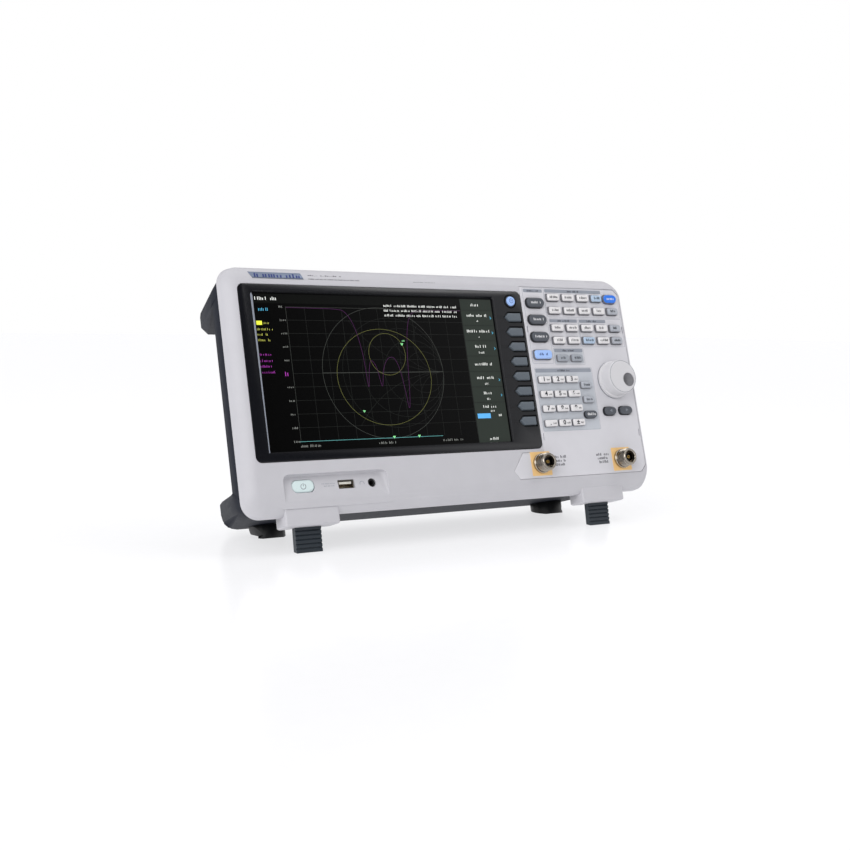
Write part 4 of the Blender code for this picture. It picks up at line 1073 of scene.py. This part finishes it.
def build_key_panel():
    back = case_extent("keypad_panel")[1].y
    bm = bmesh.new()
    add_loft(bm, [(0.0, panel_outline(-0.3)), (0.25, panel_outline()), (back, panel_outline())])
    holes = [(cap, KEY_CORNER) for node in MATS for cap in mat_caps(node)]
    holes += [(node_sides(node), corner) for node, (_, corner, _) in SINGLES.items()]
    bm = combine(bm, round_holes(holes, 0.35))
    rest = add_lathe(bmesh.new(), (KNOB_AXIS[0], KNOB_AXIS[2]), ((-1.0, 3.8), (4.0, 3.8)), segments=32)
    for node in ("n_connector_left", "n_connector_right"):
        add_lathe(rest, node_centre(node), ((-1.0, 6.8), (4.0, 6.8)))
    for x, z in ((84.9, 157.0), (192.9, 157.0), (84.9, 60.0), (192.9, 60.0)):
        slot = rounded_rectangle(x - 0.5, x + 0.5, z - 3.2, z + 3.2, 0.45, 4)
        add_prism(rest, slot, -1.0, 1.4)
    bm = combine(bm, rest)
    place_piece(bm, "key_panel_plate", "panel_plastic", replaces=["keypad_panel"])


def build_panel_print():
    """The print on the key panel: two pale fields, group titles as blank bars with marks, and frames."""
    fields = bmesh.new()
    for box in ((110.0, 142.2, 125.4, 136.2), (86.0, 148.8, 64.4, 117.8)):
        add_prism(fields, rounded_rectangle(*box, 1.0, 4), -FRONT_SKIN / 2, 0.2)
    place_piece(fields, "group_fields", "print_field")
    bars = (
        (86.2, 107.0, 191.1, 194.2), (109.6, 173.9, 191.4, 194.6), (110.4, 141.4, 163.6, 166.6),
        (143.6, 174.4, 163.6, 166.6), (110.4, 142.4, 135.9, 139.2), (86.4, 148.4, 117.4, 121.0),
    )
    bm = bmesh.new()
    for bar in bars:
        add_prism(bm, rounded_rectangle(*bar, 0.8, 4), -FRONT_SKIN, 0.2)
    place_piece(bm, "group_title_bars", "print_bar")
    bm = bmesh.new()
    for number, (left, right, bottom, top) in enumerate(bars):
        width = min(13.0, (right - left) * 0.6)
        marks = writing((left + right) / 2, (bottom + top) / 2, width, 1.8, number, 0.28)
        add_plates(bm, marks, -2 * FRONT_SKIN, 0.2)
    place_piece(bm, "group_title_marks", "print_dark")
    bm = bmesh.new()
    frames = (
        (85.2, 108.2, 125.6, 195.2), (109.0, 193.0, 168.6, 195.4), (109.8, 142.2, 141.0, 167.4),
        (143.0, 193.0, 141.0, 167.4), (109.8, 143.2, 124.4, 139.8), (85.8, 149.4, 64.8, 121.6),
    )
    for box in frames:
        add_stroke(bm, rounded_rectangle(*box, 1.2, 4), 0.22, -FRONT_SKIN, 0.2, closed=True)
    place_piece(bm, "group_frames", "print_bar")
    orange, labels = bmesh.new(), bmesh.new()
    for side, node in ((1, "n_connector_left"), (-1, "n_connector_right")):
        x, z = node_centre(node)
        add_prism(orange, rounded_rectangle(*grown((x, x, z, z), 10.5), 0.8, 4), -FRONT_SKIN, 0.2)
        for row, rise in enumerate((5.2, 1.8, -1.6)):
            marks = writing(x + side * 20.5, z + rise, 15.0 - 2.5 * row, 2.4, f"{node} {row}", 0.26)
            add_plates(labels, marks, -FRONT_SKIN, 0.2)
    place_piece(orange, "connector_fields", "print_orange")
    place_piece(labels, "connector_marks", "print_dark")


# ---- Knob, connectors and ports on the front ----


def build_knob():
    low, high = case_extent("tuning_knob")
    front = low.y
    x, _, z = KNOB_AXIS
    dimple_x, dimple_z, dimple_y = x + 6.2, z - 3.0, front - 1.5
    bm = bmesh.new()
    profile = (
        (high.y, 3.0), (-0.6, 3.0), (-0.6, 16.7), (-0.9, 17.2), (-1.5, 17.3), (-3.2, 17.25), (-3.7, 16.9),
        (-4.1, 15.9), (front + 1.9, 15.5), (front + 1.0, 15.3), (front + 0.45, 14.8), (front + 0.12, 14.0),
        (front, 12.9), (front + 0.05, 6.0), (front + 0.12, 1.0),
    )
    add_lathe(bm, (x, z), profile, segments=96)
    dimple = bmesh.new()
    place = Matrix.Translation((dimple_x, dimple_y, dimple_z))
    bmesh.ops.create_uvsphere(dimple, u_segments=64, v_segments=48, radius=6.6, matrix=place)
    bm = combine(bm, dimple)
    piece = place_piece(bm, "knob_cap", "knob_plastic", body="tuning_knob", replaces=["tuning_knob"])
    soften(piece, 0.2, 3)
    # Painted shade: a darker grey lining inside the dimple stands for the shade in it.
    bm = bmesh.new()
    radii = (0.4, 1.5, 2.8, 4.0, 5.0, 5.8, 6.15)
    dimple_shade_profile = [(dimple_y + (6.5**2 - radius**2) ** 0.5, radius) for radius in radii]
    add_lathe(bm, (dimple_x, dimple_z), dimple_shade_profile + [(front + 1.2, 6.15), (front + 5.6, 0.4)], segments=48)
    place_piece(bm, "knob_dimple", "knob_dimple", body="tuning_knob")
    # Painted shade: a grey ring where the knob meets the panel, and a thin grey ring at its face's edge.
    bm = bmesh.new()
    add_lathe(bm, (x, z), ((-0.55, 17.3), (-0.05, 17.3), (-0.05, 16.0), (-0.55, 16.0)), segments=96)
    add_stroke(bm, ellipse(x, z, 14.6, segments=96), 0.3, front + 0.2, front + 0.9, closed=True)
    place_piece(bm, "knob_shade_rings", "print_and_shade_grey", body="tuning_knob")


def build_n_connectors():
    for side in ("left", "right"):
        node = f"n_connector_{side}"
        low, high = case_extent(node)
        centre, front, back = node_centre(node), low.y, high.y
        threads = []
        for crest in [-4.3 - 0.8 * turn for turn in range(9)]:
            threads += [(crest + 0.3, 7.35), (crest, 7.85), (crest - 0.2, 7.85), (crest - 0.45, 7.35)]
        profile = [(back, 6.4), (-0.3, 6.4), (-0.3, 8.3), (-0.6, 8.6), (-2.6, 8.6), (-3.0, 8.2), (-3.1, 7.3)]
        profile += threads + [(-11.4, 7.0), (front + 0.3, 7.0), (front, 6.7)]
        profile += [(front, 5.5), (front + 0.4, 5.2), (-4.0, 5.2)]
        bm = add_lathe(bmesh.new(), centre, profile, segments=72)
        place_piece(bm, f"n_shell_{side}", "nickel", replaces=[node])
        bm = bmesh.new()
        add_lathe(bm, centre, ((-3.9, 3.9), (-7.6, 3.9), (-7.8, 3.7), (-7.8, 1.8)), segments=48)
        place_piece(bm, f"n_insulator_{side}", "socket_black")
        bm = bmesh.new()
        profile = ((-3.8, 1.5), (-10.0, 1.5), (-10.4, 1.2), (-10.4, 0.8), (-7.5, 0.8))
        add_lathe(bm, centre, profile, segments=32)
        place_piece(bm, f"n_contact_{side}", "brass")


def build_port_details():
    low, high = case_extent("usb_socket")
    (x, z), front, outer = node_centre("usb_socket"), low.y, node_sides("usb_socket")
    bm, mouth = bmesh.new(), bmesh.new()
    add_prism(bm, rounded_rectangle(*outer, 0.6, 4), front, high.y)
    add_prism(mouth, rounded_rectangle(*grown(outer, -0.75), 0.3, 4), front - 1.0, 15.0)
    place_piece(combine(bm, mouth), "usb_shell", "nickel", replaces=["usb_socket"])
    bm = add_box(bmesh.new(), (x - 5.5, front + 0.9, z + 0.3), (x + 5.5, 15.5, z + 2.2))
    soften(place_piece(bm, "usb_tongue", "insulator"), 0.2)
    bm = bmesh.new()
    for step in range(4):
        across = x - 3.5 + 7.0 / 3 * step
        add_box(bm, (across - 0.55, front + 1.1, z + 0.15), (across + 0.55, 14.0, z + 0.5))
    place_piece(bm, "usb_contacts", "brass")

    low, high = case_extent("headphone_jack")
    bm = bmesh.new()
    profile = [(high.y, 3.3), (low.y + 0.3, 3.3), (low.y, 3.0), (low.y, 2.1)]
    profile += [(low.y + 0.4, 1.8), (16.0, 1.8)]
    add_lathe(bm, node_centre("headphone_jack"), profile, segments=48)
    place_piece(bm, "headphone_socket", "socket_black", replaces=["headphone_jack"])

    low, high = case_extent("power_button")
    sides = node_sides("power_button")
    bm = bmesh.new()
    steps = ((high.y, 0.0), (low.y + 1.2, 0.0), (low.y + 0.5, 0.25), (low.y + 0.12, 0.8), (low.y, 1.5))
    add_loft(bm, stepped(sides, [(y, -inset, 4.2 - inset * 0.6) for y, inset in steps], 10))
    place_piece(bm, "power_cap", "power_key", body="power_button", replaces=["power_button"])
    x, z = node_centre("power_button")
    bm = bmesh.new()
    arc = [(x + 2.1 * sin(radians(turn)), z - 0.2 + 2.1 * cos(radians(turn))) for turn in range(35, 326, 10)]
    add_stroke(bm, arc, 0.5, low.y - 0.02, low.y + 0.3)
    add_stroke(bm, [(x, z - 0.1), (x, z + 2.4)], 0.5, low.y - 0.02, low.y + 0.3)
    place_piece(bm, "power_mark", "print_and_shade_grey", body="power_button")


def port_floor(z):
    """The port recess floor's depth at a height."""
    _, _, bottom, top = PORT_RECESS
    return PORT_EDGE + (PORT_DEPTH - PORT_EDGE) * (z - bottom - 1.0) / (top - bottom - 2.5)


def build_port_marks():
    """Faint generic marks on the recess floor: two short rows, and a headset arc."""
    bm = bmesh.new()
    add_plates(bm, writing(-125.5, 31.6, 12.0, 1.0, 21) + writing(-125.0, 29.6, 9.0, 1.0, 22), 0.0, 0.5)
    turns = [radians(turn) for turn in range(-20, 201, 20)]
    arc = [(-96.3 + 1.9 * cos(turn), 29.8 + 1.9 * sin(turn)) for turn in turns]
    add_stroke(bm, arc, 0.4, 0.0, 0.5)
    for vert in bm.verts:
        vert.co.y += port_floor(vert.co.z) - FRONT_SKIN
    place_piece(bm, "port_marks", "print_bar")


# ---- Stand ----

LEG_BARREL, LEG_SPANS = 3.1, 7  # the hinge barrel's radius, and how many spans the ribs divide the leg into


def floor_height(y):
    """The floor's height in case axes at a depth into the case."""
    _, along_y, along_z = JOINTS["tuning_knob_turn"]["axis"]
    origin, slope = TO_CASE @ Vector((0.0, 0.0, 0.0)), -along_z / along_y
    return origin.z + (y - origin.y) * slope


def build_legs():
    for side, name in ((-1, "left"), (1, "right")):
        node = f"front_leg_{name}"
        hinge = TO_CASE @ Vector(JOINTS["leg_fold_" + name]["pos_m"])
        toe, heel = ((y, floor_height(y)) for y in (hinge.y - 0.9, hinge.y + 5.1))
        turns = [radians(turn) for turn in range(0, 181, 15)]
        outline = [(hinge.y + LEG_BARREL * cos(turn), hinge.z + LEG_BARREL * sin(turn)) for turn in turns]
        for step in range(1, LEG_SPANS):
            y, z = between((hinge.y - LEG_BARREL, hinge.z), toe, step / LEG_SPANS)
            outline += [(y, z + 0.6), (y + 0.9, z + 0.3), (y + 0.9, z - 0.3), (y, z - 0.6)]
        near, far = sorted((side * 131.8, side * 154.0))
        bm = add_prism(bmesh.new(), outline + [toe, heel], near, far, along="X")
        pins = bmesh.new()
        add_lathe(pins, (hinge.y, hinge.z), ((near - 3.2, 1.6), (far + 3.2, 1.6)), along="X", segments=32)
        bm = combine(bm, pins, "UNION")
        soften(place_piece(bm, f"leg_{name}", "leg_plastic", body=node, replaces=[node]), 0.3)


# ---- Rear ----


def build_rear_details():
    """The cross-head screws round the rear plate, which the CAD leaves out, their cross slots drawn as dark
    bars of painted shade.
    """
    screws, slot_shades = bmesh.new(), bmesh.new()
    low, high = case_extent("rear_panel")
    back = high.y
    head = ((back - 0.5, 2.8), (back + 0.5, 2.8), (back + 1.1, 2.0), (back + 1.25, 1.0))
    for x in (low.x + 7.0, 0.0, high.x - 7.0):
        for z in (low.z + 7.0, high.z - 7.0):
            add_lathe(screws, (x, z), head, segments=32)
            # Painted shade: the cross slots are dark bars on the heads, not cut into them.
            for half_x, half_z in ((1.5, 0.25), (0.25, 1.5)):
                add_plates(slot_shades, [(x - half_x, x + half_x, z - half_z, z + half_z)], back + 0.9, back + 1.3)
    place_piece(screws, "rear_screws", "nickel")
    place_piece(slot_shades, "rear_screw_slot_shades", "socket_black")


def dress_nodes():
    """Procedural finishes for the CAD nodes that stay in view."""
    finishes = {
        "slate_plastic": ("rear_shell", "carrying_handle"),
        "foot_rubber": ("rear_foot_left", "rear_foot_right"),
        "nickel": (
            "handle_pin_left", "handle_pin_right", "bnc_reference_in", "bnc_reference_out", "bnc_trigger",
        ),
        "sheet_steel": ("rear_panel", "chassis", "display_module", "lan_socket", "usb_device_socket"),
        "module_box": ("rf_module", "power_supply"),
        "board_green": ("main_board", "key_board"),
        "socket_black": ("mains_inlet", "encoder", "speaker", "fan_frame", "fan_rotor"),
    }
    for look, nodes in finishes.items():
        for node in nodes:
            keep_node(node, look, 0.5 if look in ("slate_plastic", "foot_rubber") else 0.2)


build_camera()
build_studio()
build_bezel()
build_brow_marks()
build_surround()
build_softkeys()
build_interface()
build_key_panel()
build_panel_print()
build_mat_keys()
build_single_keys()
build_knob()
build_n_connectors()
build_port_details()
build_port_marks()
build_legs()
build_rear_details()
dress_nodes()
